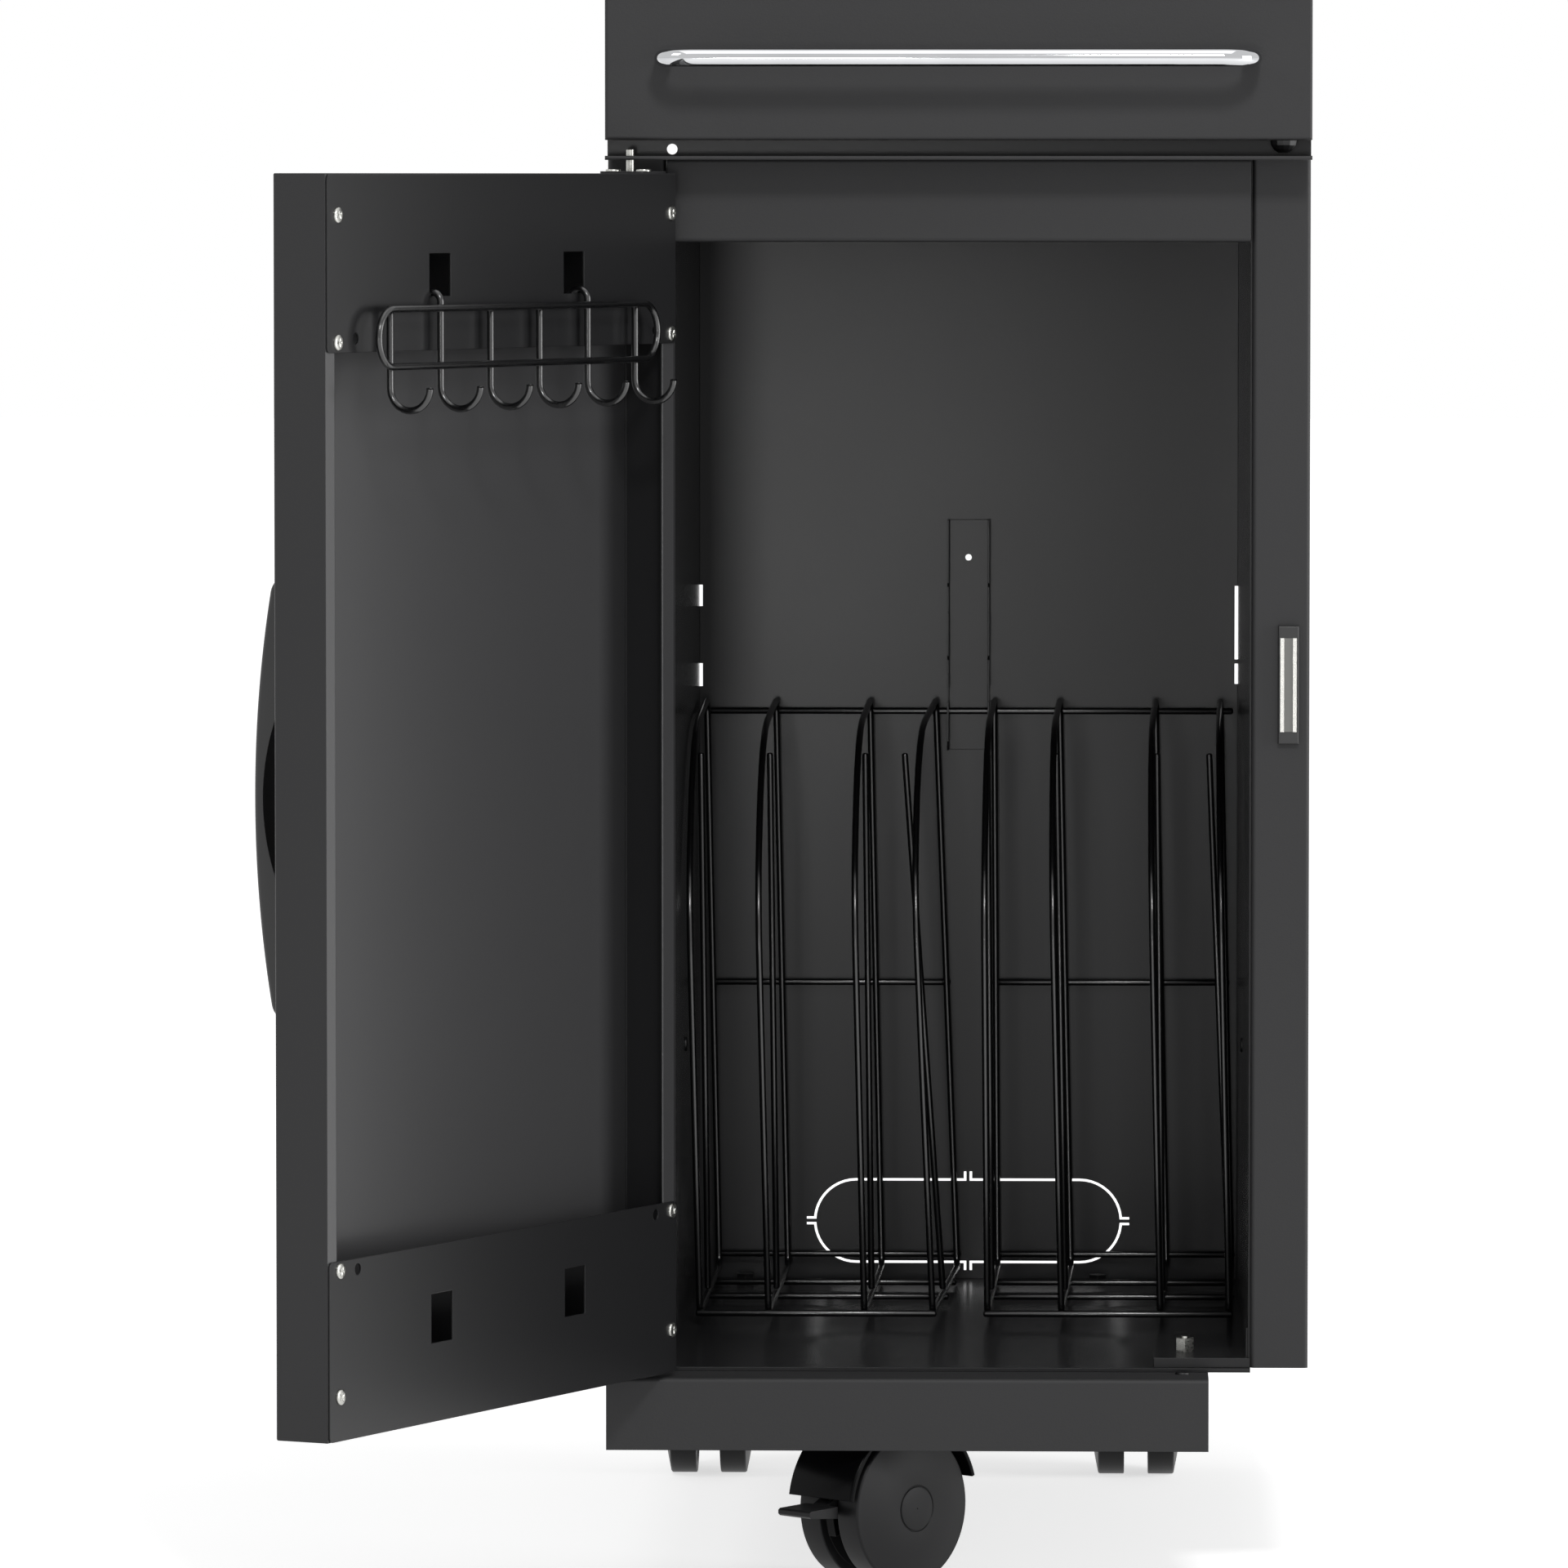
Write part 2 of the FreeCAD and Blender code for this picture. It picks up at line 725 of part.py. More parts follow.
def build_bracket():
    """U-shaped hanger whose two flanges have stepped notches and a seat for the rack's top wire."""
    half = bracket_width / 2
    bottom = top_wire_z - bracket_below_wire
    top = top_wire_z + bracket_above_wire
    web = box(-half, half, back_face - sheet, back_face, bottom, top)
    hole = Part.makeCylinder(bracket_hole_diameter / 2, sheet + 2,
                             V(0, back_face - sheet - 1, top_wire_z + bracket_hole_above_wire),
                             V(0, 1, 0))
    web = web.cut(hole)
    back = back_face - sheet
    front = back_face - bracket_depth
    seat_y = hoop_back_y + weld_step
    seat_half = wire_radius + seat_clearance
    seat_low = top_wire_z - wire_radius - seat_clearance
    entry_low = top_wire_z + bracket_entry_rise
    entry_high = top_wire_z + rack_lift_room()
    outline = [
        (back, bottom), (front + bracket_foot_cut[0], bottom),
        (front, bottom + bracket_foot_cut[1]),
        (front, entry_low), (seat_y - seat_half, entry_low), (seat_y - seat_half, seat_low),
        (seat_y + seat_half, seat_low), (seat_y + seat_half, entry_high), (front, entry_high)]
    outline += [(front + inset, top_wire_z + rise) for inset, rise in bracket_steps]
    outline += [(front + bracket_steps[-1][0], top), (back, top)]
    ring = [V(0, y, z) for y, z in outline]
    flange = Part.Face(Part.makePolygon(ring + ring[:1]))
    left = flange.extrude(V(sheet, 0, 0))
    left.translate(V(-half, 0, 0))
    right = flange.extrude(V(sheet, 0, 0))
    right.translate(V(half - sheet, 0, 0))
    return web.fuse([left, right]).removeSplitter()


def rack_lift_room():
    """How far above the seated wire's centre the bracket's seat stays open."""
    return rack_lift + wire_radius + lift_clearance


def build_fasteners():
    """Foot bracket with its nut, bolts, screws and the magnetic catch."""
    inner = wall_inner_face
    low = floor_top
    tab = box(foot_tab_left, inner, foot_tab_front, foot_tab_front + foot_tab_depth,
              low + foot_tab_lip - sheet, low + foot_tab_lip)
    lip = box(foot_tab_left, wall_outer_face, foot_tab_front, foot_tab_front + sheet,
              low, low + foot_tab_lip)
    ear = box(inner - sheet, inner, wall_front + 3.0, foot_tab_front + foot_tab_depth,
              low, low + 4 * foot_tab_lip)
    keep("foot_bracket", tab.fuse([lip, ear]).removeSplitter())
    seat = V(foot_bolt_x, foot_bolt_y, low + foot_tab_lip)
    stud = Part.makeCylinder(foot_stud_diameter / 2, foot_stud_height, seat)
    keep("foot_bolt", hexagon(seat, bolt_flats, foot_nut_height).fuse(stud).removeSplitter())
    keep("wall_screws", pan_head(V(base_screw_x, base_screw_y, base_top), V(0, 0, 1)))

    for side in (-1, 1):
        spot = V(base_centre + side * floor_bolt_spread, floor_bolt_y, floor_top)
        keep("floor_bolts", hexagon(spot, bolt_flats, bolt_head))
        spot = V(side * wall_inner_face, wall_screw_y, wall_screw_z)
        keep("wall_screws", pan_head(spot, V(-side, 0, 0)))

    strip_face = pin_y + pan_inner + catch_gap
    top = catch_bottom + catch_height
    left = catch_x - catch_width / 2
    right = catch_x + catch_width / 2
    middle = (catch_bottom + top) / 2
    low = middle - strip_bar_length / 2
    high = middle + strip_bar_length / 2
    body_face = strip_face + 0.8
    housing = box(left, right, body_face, post_front, catch_bottom, top)
    housing = housing.makeFillet(0.8, edges_where(housing, lambda b: facing(b, body_face)))
    pocket_half = strip_spread / 2 + strip_thickness / 2
    pocket = box(catch_x - pocket_half, catch_x + pocket_half, strip_face - 1,
                 post_front - sheet, low, high)
    keep("catch_housing", housing.cut(pocket))
    for side in (-1, 1):
        centre = catch_x + side * strip_spread / 2
        keep("catch_strips", box(centre - strip_thickness / 2, centre + strip_thickness / 2,
                                 strip_face, post_front - sheet, low, high))
    gap_half = strip_spread / 2 - strip_thickness / 2
    keep("catch_magnet", box(catch_x - gap_half, catch_x + gap_half,
                             strip_face + 0.6, post_front - sheet, low, high))


def placed_on_door(shape):
    """A piece drawn on the closed door about the pin, swung open with the door."""
    moved = shape.copy()
    moved.rotate(V(0, 0, 0), V(0, 0, 1), -door_open_angle)
    moved.translate(V(pin_x, pin_y, 0))
    return moved


def build_door():
    """Open door pan, its two plates, screws, hinges and handle."""
    low = -pin_from_edge
    high = door_latch_edge
    face = -pin_from_face
    skin = box(low, high, face, pan_inner, door_bottom, door_top)
    rounded = edges_where(skin, lambda b: facing(b, face))
    skin = skin.makeFillet(door_corner, rounded)
    wall = door_sheet
    inside = box(low + wall, high - wall, face + wall, pan_inner - wall,
                 door_bottom + wall, door_top - wall)
    inner_edges = edges_where(inside, lambda b: facing(b, face + wall))
    inside = inside.makeFillet(door_corner - wall, inner_edges)
    mouth = box(low + hinge_flange, high - latch_flange, pan_inner - 2 * wall,
                pan_inner + 1, door_bottom + wall, door_top - wall)
    keep("door_skin", placed_on_door(skin.cut(inside).cut(mouth)))

    rows = (
        ("door_top_plate", door_top - 0.6 - top_plate_height, top_plate_height,
         top_slot_bottom, top_slot_height, plate_hole_row_top, plate_screw_rows_top),
        ("door_bottom_plate", door_bottom, bottom_plate_height,
         bottom_slot_bottom, bottom_slot_height, plate_hole_row_bottom, plate_screw_rows_bottom))
    for name, base, height, slot_low, slot_high, hole_z, screw_rows in rows:
        plate = box(low + 1.0, high - 1.0, pan_inner, door_inner, base, base + height)
        corners = edges_where(plate, lambda b: b.XLength < 1e-3 and b.ZLength < 1e-3)
        plate = plate.makeFillet(3.0, corners)
        cuts = []
        for centre in slot_centres:
            cuts.append(box(centre - slot_width / 2, centre + slot_width / 2,
                            pan_inner - 1, door_inner + 1, slot_low, slot_low + slot_high))
        for u in (plate_hole_inset + low, high - plate_hole_inset - plate_screw_inset):
            cuts.append(Part.makeCylinder(plate_hole_diameter / 2, 4,
                                          V(u, pan_inner - 2, hole_z), V(0, 1, 0)))
        keep(name, placed_on_door(plate.cut(cuts)))
        for u in (low + plate_screw_inset, high - 2 * plate_screw_inset):
            for z in screw_rows:
                keep("door_screws", placed_on_door(pan_head(V(u, door_inner, z), V(0, 1, 0))))

    plate_half = hinge_plate_width / 2
    plate_mid = (pan_inner - pin_from_face) / 2
    plate_left = -pin_from_edge + door_corner + 1.0
    for base in (door_top, door_bottom - sheet):
        plate = box(plate_left, plate_left + hinge_plate_length, plate_mid - plate_half,
                    plate_mid + plate_half, base, base + sheet)
        keep("hinge_plates", placed_on_door(plate.makeFillet(4.0, edges_where(plate, upright))))
    radius = pin_diameter / 2
    upper = Part.makeCylinder(radius, pin_top - door_top - sheet, V(0, 0, door_top + sheet))
    crown = edges_where(upper, lambda b: near(b.ZMin, pin_top))
    keep("hinge_pins", placed_on_door(upper.makeChamfer(0.6, crown)))
    lower_top = door_bottom - sheet
    lower_end = base_top - pin_below
    keep("hinge_pins", placed_on_door(Part.makeCylinder(
        radius, lower_top - lower_end, V(0, 0, lower_end))))
    washer_base = base_top + washer_gap
    ring = Part.makeCylinder(washer_diameter / 2, lower_top - washer_base, V(0, 0, washer_base))
    ring = ring.cut(Part.makeCylinder(radius, 10, V(0, 0, washer_base - 5)))
    keep("hinge_pins", placed_on_door(ring))
    for side in (-1, 1):
        spot = V(12.5, plate_mid + side * hinge_screw_spread / 2, door_top + sheet)
        keep("door_screws", placed_on_door(pan_head(spot, V(0, 0, 1))))

    keep("door_handle", placed_on_door(build_handle()))


def build_handle():
    """Bowed bar with rounded ends and edges, over a lens-shaped finger gap.

    Its back and its crest are arcs through their ends and their middle, so each
    cross-section is a block with two cut corners between two heights.
    """
    face = -pin_from_face
    left = handle_u - handle_width / 2
    right = left + handle_width
    half = handle_length / 2
    middle = handle_bottom + half
    bow = handle_mid_rise - handle_end_rise
    crest_radius = (half * half + bow * bow) / (2 * bow)
    gap_half = handle_gap_length / 2
    gap_radius = (gap_half * gap_half + handle_gap_depth ** 2) / (2 * handle_gap_depth)

    def crest(z):
        return handle_mid_rise - crest_radius + math.sqrt(crest_radius ** 2 - z * z)

    def hollow(z):
        if abs(z) >= gap_half:
            return 0.0
        return handle_gap_depth - gap_radius + math.sqrt(gap_radius ** 2 - z * z)

    stations = []
    for angle in (0.0, 22.5, 45.0, 67.5):
        turned = math.radians(angle)
        stations.append((half - handle_round * (1 - math.cos(turned)),
                         handle_end_rise - handle_round * (1 - math.sin(turned))))
    inner = [gap_half * math.cos(math.pi * i / handle_steps) for i in range(handle_steps // 2)]
    stations += [(half - handle_round, crest(half - handle_round))]
    stations += [(z, crest(z)) for z in inner + [0.0]]
    rings = []
    for z, rise in stations + [(-z, rise) for z, rise in stations[-2::-1]]:
        low = face - hollow(z)
        high = face - rise
        cut = handle_edge
        rings.append([V(left, low, middle + z), V(left, high + cut, middle + z),
                      V(left + cut * 0.3, high + cut * 0.3, middle + z),
                      V(left + cut, high, middle + z), V(right - cut, high, middle + z),
                      V(right - cut * 0.3, high + cut * 0.3, middle + z),
                      V(right, high + cut, middle + z), V(right, low, middle + z)])
    return solid_between(rings)


def build_hook_rack():
    """Six hooks welded behind a long wire loop; two of them hang in the top plate's slots."""
    stem_t = door_inner + hook_stem_standoff
    loop_t = stem_t + weld_step
    mid_u = hook_first_u + hook_pitch * (hook_count - 1) / 2
    half = hook_loop_height / 2
    reach = hook_loop_width / 2
    start = V(mid_u, loop_t, hook_loop_z - half)
    corners = [V(mid_u + reach, loop_t, hook_loop_z - half),
               V(mid_u + reach, loop_t, hook_loop_z + half),
               V(mid_u - reach, loop_t, hook_loop_z + half),
               V(mid_u - reach, loop_t, hook_loop_z - half)]
    loop = bent_wire([start] + corners + [start], half - 0.01, V(0, 1, 0), True)
    keep("hook_rack_loop", placed_on_door(loop))

    bottom = hook_loop_z - half - hook_drop
    seat = top_slot_bottom + wire_radius + seat_clearance
    for i in range(hook_count):
        u = hook_first_u + hook_pitch * i
        tip_t = stem_t + 2 * hook_radius
        points = [V(u, tip_t, bottom + hook_tip), V(u, tip_t, bottom), V(u, stem_t, bottom)]
        radii = [0, hook_radius - 0.01, hook_radius - 0.01]
        if i in hook_hangers:
            back_t = stem_t - 2 * hanger_bend
            points += [V(u, stem_t, seat), V(u, back_t, seat),
                       V(u, back_t, seat - hanger_bend - hanger_tail)]
            radii += [hanger_bend - 0.01, hanger_bend - 0.01, 0]
        else:
            points.append(V(u, stem_t, hook_loop_z + half + wire_radius))
            radii.append(0)
        keep("hook_rack_hooks", placed_on_door(bent_wire(points, radii, V(1, 0, 0))))


def hoop_x(i, y, z):
    """Where a hoop's leaning and turned plane stands across the cart."""
    lean = math.tan(math.radians(hoop_leans[i]))
    turn = math.tan(math.radians(hoop_turns[i]))
    return (hoop_places[i] - lean * (z - hoop_base_z - hoop_lean_rise)
            - turn * (hoop_back_y - y))


def build_wire_rack():
    """Two bays of four bent hoops, with an upright in each hoop and welded cross wires.

    Each hoop lies in its own plane, which leans and is turned a little about
    its back bar. Its upright leans on its own from its foot on the base wire.
    """
    base = hoop_base_z
    profile = [(hoop_back_y, base + hoop_back_height / 2), (hoop_back_y, base)]
    profile += [(y, base + rise) for y, rise in hoop_front]
    profile += [(hoop_back_y, base + hoop_back_height), profile[0]]
    radii = [0, hoop_corner] + hoop_front_radii + [hoop_corner, 0]
    for i in range(len(hoop_places)):
        across = V(1, -math.tan(math.radians(hoop_turns[i])),
                   math.tan(math.radians(hoop_leans[i]))).normalize()
        hoop = bent_wire([V(hoop_x(i, y, z), y, z) for y, z in profile], radii, across, True)
        keep("rack_hoops_left" if hoop_places[i] < 0 else "rack_hoops_right", hoop)
        foot = base + wire_radius + upright_clearance
        foot_x = hoop_x(i, upright_y, foot)
        lean = math.radians(upright_leans[i])
        top_x = foot_x - math.tan(lean) * (upright_height - foot + base)
        stand = bent_wire([V(foot_x, upright_y, foot),
                           V(top_x, upright_y, base + upright_height)], 0, V(0, 1, 0))
        keep("rack_uprights", stand)

    back_y = hoop_back_y + weld_step
    wires = [(-top_wire_reach, top_wire_reach, back_y, top_wire_z)]
    slope = math.atan2(hoop_front[0][0] - hoop_front[1][0], hoop_front[1][1])
    radius = hoop_front_radii[0]
    corner_y = hoop_front[0][0] + radius * (1 / math.cos(slope) - math.tan(slope))
    reach = (radius + weld_step) * math.sqrt(0.5)
    levels = [(back_y, base + mid_wire_rise), (back_y, base + low_wire_rise),
              (corner_y - reach, base + radius - reach)]
    levels += [(y, base - weld_step) for y in low_wire_ys]
    per_bay = len(hoop_places) // 2
    for y, z in levels:
        for first, last in ((0, per_bay - 1), (per_bay, 2 * per_bay - 1)):
            wires.append((hoop_x(first, y, z) - cross_wire_end,
                          hoop_x(last, y, z) + cross_wire_end, y, z))
    for x0, x1, y, z in wires:
        keep("rack_cross_wires", bent_wire([V(x0, y, z), V(x1, y, z)], 0, V(0, 0, 1)))


def arc_points(radius, start, end):
    """Points on an arc in the caster's middle plane, in short equal steps of angle."""
    count = max(2, round((end - start) / hood_step))
    angles = [math.radians(start + (end - start) * i / count) for i in range(count + 1)]
    return [V(radius * math.cos(a), 0, radius * math.sin(a)) for a in angles]


def standing_plate(outline, thickness):
    """A plate on the caster's middle plane with a flat outline."""
    face = Part.Face(Part.makePolygon(outline + outline[:1]))
    face.translate(V(0, -thickness / 2, 0))
    return face.extrude(V(0, thickness, 0))


def sector(radius, thickness, start, end):
    """A pie piece standing in the caster's middle plane, angles from the trailing side upward."""
    return standing_plate([V(0, 0, 0)] + arc_points(radius, start, end), thickness)


def build_caster(name, x, y, heading, brake):
    """Plate with a socket, hooded housing on a stem, axle, twin wheels and an optional brake."""
    hub = V(caster_trail, 0, wheel_radius)

    def place(shape):
        moved = shape.copy()
        moved.rotate(V(0, 0, 0), V(0, 0, 1), heading)
        moved.translate(V(x, y, 0))
        return moved

    plate_low = base_under - plate_thickness
    plate = box(x - plate_length / 2, x + plate_length / 2, y - plate_width / 2,
                y + plate_width / 2, plate_low, base_under)
    plate = plate.makeFillet(6.0, edges_where(plate, upright))
    socket = prism(V(x, y, plate_low - socket_height), V(0, 0, 1), swivel_disc / 2 + 1.0,
                   socket_height, hub_sides)
    bore = Part.makeCylinder(stem_diameter / 2 + stem_clearance, socket_height + 1,
                             V(x, y, plate_low - socket_height - 1))
    keep("caster_plates", plate.fuse(socket).cut(bore).removeSplitter())

    inside = arc_points(hood_radius - hood_thickness, hood_start, hood_end)
    shell = standing_plate(arc_points(hood_radius, hood_start, hood_end) + inside[::-1],
                           hood_width)
    ribs = sector(hood_radius - hood_thickness * 0.5, web_thickness, hood_start, hood_end)
    nose = sector(web_radius, web_thickness, nose_start, hood_start + 1)
    tail = sector(web_radius, web_thickness, hood_end - 1, tail_end)
    knuckle = prism(V(0, wheel_inner - 0.5, 0), V(0, -1, 0), hub_diameter / 2,
                    2 * (wheel_inner - 0.5), hub_sides)
    housing = shell.fuse([ribs, nose, tail, knuckle])
    housing.translate(hub)
    boss_low = hub.z + hood_radius * 0.62
    boss = prism(V(0, 0, boss_low), V(0, 0, 1), boss_diameter / 2,
                 swivel_top - disc_thickness - boss_low, hub_sides)
    room = sector(hood_radius - hood_thickness, hood_width, hood_start, hood_end)
    room.translate(hub)
    boss = boss.cut(room)
    disc = prism(V(0, 0, swivel_top - disc_thickness), V(0, 0, 1), swivel_disc / 2,
                 disc_thickness, hub_sides)
    stem = Part.makeCylinder(stem_diameter / 2, socket_height - 1.0 + swivel_gap,
                             V(0, 0, swivel_top))
    housing = housing.fuse([boss, disc, stem])
    if brake:
        pin = Part.makeCylinder(lever_pin_diameter / 2, lever_width,
                                hub + V(lever_pivot_x, lever_width / 2, lever_pivot_z),
                                V(0, -1, 0))
        housing = housing.fuse(pin)
    axle_half = wheel_inner + wheel_tread - 0.5
    axle = Part.makeCylinder(axle_diameter / 2, 2 * axle_half, hub + V(0, axle_half, 0),
                             V(0, -1, 0))
    keep(name + "_housing", place(housing.fuse(axle).removeSplitter()))

    bore = axle_diameter / 2 + axle_clearance
    inner = wheel_inner
    outer = wheel_inner + wheel_tread
    crown = outer + wheel_dome
    cap = wheel_cap_diameter / 2
    profile = [(wheel_radius, inner), (wheel_radius, outer - wheel_edge),
               (wheel_radius - wheel_edge, outer), (cap, crown - wheel_cap_rise), (cap, crown)]
    rings = []
    for radius, a in profile:
        turns = [2 * math.pi * (i + 0.5) / wheel_sides for i in range(wheel_sides)]
        rings.append([V(radius * math.cos(t), a, radius * math.sin(t)) for t in turns])
    wheel = solid_between(rings)
    wheel = wheel.cut(Part.makeCylinder(bore, outer - inner + 1, V(0, inner - 1, 0), V(0, 1, 0)))
    wheel.translate(hub)
    keep(name + "_wheel_a", place(wheel))
    twin = wheel.mirror(V(0, 0, 0), V(0, 1, 0))
    keep(name + "_wheel_b", place(twin))
    if brake:
        keep(name + "_brake", place(build_lever(hub)))


def build_lever(hub):
    """Foot lever that straddles the housing's web and ends in a wide paddle."""
    half = lever_thickness / 2
    root = lever_pivot_x
    level = lever_pivot_z
    fork_end = paddle_start + 2.0
    eye = lever_eye
    side = [V(root - eye, 0, level - eye * 0.4), V(root - eye * 0.4, 0, level - eye),
            V(root + eye * 0.4, 0, level - eye), V(fork_end, 0, -half - 0.5),
            V(fork_end, 0, half + 1.5), V(root + eye * 0.4, 0, level + eye),
            V(root - eye * 0.4, 0, level + eye), V(root - eye, 0, level + eye * 0.4)]
    arm = standing_plate(side, lever_width)
    tip = lever_reach
    grip = [V(paddle_start, 0, -half - 0.5), V(tip - 1.5, 0, -half + 1.2),
            V(tip, 0, -half + 2.4), V(tip, 0, half - 0.4), V(tip - 1.5, 0, half + 0.6),
            V(paddle_start, 0, half + 1.5)]
    paddle = standing_plate(grip, paddle_width)
    lever = arm.fuse(paddle)
    slot = box(root - 10, paddle_start - 2.8, -lever_slot / 2, lever_slot / 2,
               -20, 30)
    hole = Part.makeCylinder(lever_pin_diameter / 2 + axle_clearance, lever_width + 2,
                             V(root, lever_width / 2 + 1, level), V(0, -1, 0))
    lever = lever.cut(slot).cut(hole).removeSplitter()
    lever.translate(hub)
    return lever


def overall_box(shapes):
    """The tight box around every piece."""
    whole = Part.makeCompound(shapes)
    return whole.optimalBoundingBox(False, False)


def build_all():
    """Make every piece, centre the cart on its origin and return the shift."""
    build_top_box()
    build_cabinet()
    build_fasteners()
    build_door()
    build_hook_rack()
    build_wire_rack()
    build_caster("caster_front", base_centre + front_caster_shift, front_caster_y, front_caster_heading, True)
    build_caster("caster_left", base_centre - rear_caster_spread, rear_caster_y,
                 rear_caster_heading, False)
    build_caster("caster_right", base_centre + rear_caster_spread, rear_caster_y,
                 rear_caster_heading, False)
    bounds = overall_box([solid for solids in parts.values() for solid in solids])
    return V(-(bounds.XMin + bounds.XMax) / 2, -(bounds.YMin + bounds.YMax) / 2, -bounds.ZMin)


shift = build_all()
os.makedirs("parts", exist_ok=True)
for node, solids in parts.items():
    shape = solids[0] if len(solids) == 1 else Part.makeCompound(solids)
    shape = shape.copy()
    shape.translate(shift)
    shape.exportStep(os.path.join("parts", node + ".step"))
print("pieces", len(parts), "shift", tuple(round(v, 4) for v in shift))
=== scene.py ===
"""Finished look of the outdoor grill cart: coated cabinet, open door, wire racks and casters."""
import json
import math

import bmesh
import bpy
import numpy as np
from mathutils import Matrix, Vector


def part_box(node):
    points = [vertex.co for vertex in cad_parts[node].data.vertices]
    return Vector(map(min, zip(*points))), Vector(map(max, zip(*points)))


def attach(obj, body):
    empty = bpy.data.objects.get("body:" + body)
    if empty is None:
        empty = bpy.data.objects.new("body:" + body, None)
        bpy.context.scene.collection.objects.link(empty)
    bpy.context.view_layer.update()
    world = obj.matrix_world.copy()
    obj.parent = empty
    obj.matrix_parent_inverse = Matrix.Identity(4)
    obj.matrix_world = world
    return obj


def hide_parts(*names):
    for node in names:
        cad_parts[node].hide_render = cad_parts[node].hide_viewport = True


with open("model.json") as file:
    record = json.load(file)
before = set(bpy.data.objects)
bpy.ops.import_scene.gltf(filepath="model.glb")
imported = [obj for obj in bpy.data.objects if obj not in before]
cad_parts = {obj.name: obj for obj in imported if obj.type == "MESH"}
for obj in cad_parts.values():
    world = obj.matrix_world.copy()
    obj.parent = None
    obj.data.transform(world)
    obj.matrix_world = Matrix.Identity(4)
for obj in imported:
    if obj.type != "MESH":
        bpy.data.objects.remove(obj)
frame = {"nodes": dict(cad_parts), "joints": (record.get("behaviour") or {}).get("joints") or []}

bl_info = {
    "name": "Grill Cart Finish",
    "version": (1, 0, 0),
    "blender": (4, 5, 0),
    "location": "View3D > Sidebar > Grill Cart",
    "description": "Dresses the grill cart's frame with its wires, wheels, hardware and coatings",
    "category": "Object",
}

NODES = frame["nodes"]
FASCIA_LOW, FASCIA_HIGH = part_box("fascia_panel")
CABINET_X = (FASCIA_LOW.x + FASCIA_HIGH.x) / 2
CABINET_Y = FASCIA_LOW.y
MM = 0.001
UP = np.array([0, 0, 1.0])
CART_HEIGHT = 940.0
CABINET_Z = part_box("worktop")[1].z - CART_HEIGHT * MM


def joint(name):
    """The frame's joint of one name."""
    return next(j for j in frame["joints"] if j["name"] == name)


def linear(hex_colour):
    """A web colour as the linear red, green and blue that a shader takes."""
    parts = [int(hex_colour[i:i + 2], 16) / 255 for i in (1, 3, 5)]
    return tuple(c / 12.92 if c <= 0.04045 else ((c + 0.055) / 1.055) ** 2.4 for c in parts)


def size(name, text, value):
    """A length in metres, given in millimetres."""
    return bpy.props.FloatProperty(name=name, description=text, default=value * MM,
                                   subtype="DISTANCE", unit="LENGTH", precision=5)


def colour(name, text, hex_colour):
    """A colour that the user can pick."""
    return bpy.props.FloatVectorProperty(name=name, description=text, size=3, min=0, max=1,
                                         default=linear(hex_colour), subtype="COLOR")


def factor(name, text, value):
    """A number from 0 to 1."""
    return bpy.props.FloatProperty(name=name, description=text, default=value, min=0, max=1,
                                   subtype="FACTOR")


class CoatingSettings(bpy.types.PropertyGroup):
    """Colours and sheens of the coatings, plastics and metals."""
    outer: colour("Outer coat", "Fine-textured powder coat on the outside", "#2d2d2e")
    inner: colour("Inner coat", "Smoother coat on the inside walls", "#202021")
    door_lining: colour("Door lining", "Coat on the door's inner side", "#3a3a3b")
    door_plates: colour("Door plates", "Coat on the door's two plates", "#1f1f20")
    wire: colour("Rack wire", "Gloss coating on the wires", "#0c0c0d")
    plastic: colour("Plastic", "Moulded handle and trim", "#141415")
    hood: colour("Hood plastic", "Gloss plastic of the hoods and stems", "#060607")
    caster: colour("Caster plastic", "Wheels and brake lever", "#1c1c1d")
    chrome: colour("Chrome", "Plated towel bar", "#c2c3c5")
    zinc: colour("Zinc", "Plated screws and hinge pins", "#b9b9b4")
    steel: colour("Bright steel", "Pole plates of the catch", "#b9b8b4")
    magnet: colour("Magnet", "Pressed magnet between the plates", "#7b7b78")
    outer_roughness: factor("Outer roughness", "Matte of the outer coat", 0.50)
    inner_roughness: factor("Inner roughness", "Matte of the inner coat", 0.23)
    outer_specular: factor("Outer specular", "Mirror strength of the outer coat", 0.27)
    inner_specular: factor("Inner specular", "Mirror strength of the inner coat", 0.20)
    lining_specular: factor("Lining specular", "Mirror strength of the door lining", 1.0)


class WireSettings(bpy.types.PropertyGroup):
    """Sizes of the hook rack and the cabinet's wire rack."""
    diameter: size("Wire diameter", "Diameter of all rack wire", 4.0)
    weld: size("Weld step", "Distance between the centres of two crossing wires", 4.1)
    sides: bpy.props.IntProperty(name="Sides", description="Faces round a wire", default=14, min=6)


class BarSettings(bpy.types.PropertyGroup):
    """Sizes of the towel bar and of the door handle."""
    diameter: size("Bar diameter", "Diameter of the towel bar", 10.2)
    bend: size("Bar bend", "Radius of the bar's bends", 18.0)
    grip_width: size("Grip width", "Width of the door handle", 20.0)
    grip_edge: size("Grip edge", "Rounding of the door handle's edges", 3.6)


class CasterSettings(bpy.types.PropertyGroup):
    """Shape of the twin wheels and of the hoods over them."""
    bevel: size("Bevel", "Rounding of the wheel's outer edge", 1.5)
    cap: size("Cap diameter", "Diameter of the ring round the axle", 26.0)
    groove: size("Groove", "Depth of the ring round the axle", 0.6)
    hood_edge: size("Hood edge", "Rounding of the hood's edges", 1.4)
    segments: bpy.props.IntProperty(name="Segments", description="Faces round a wheel",
                                    default=112, min=12)


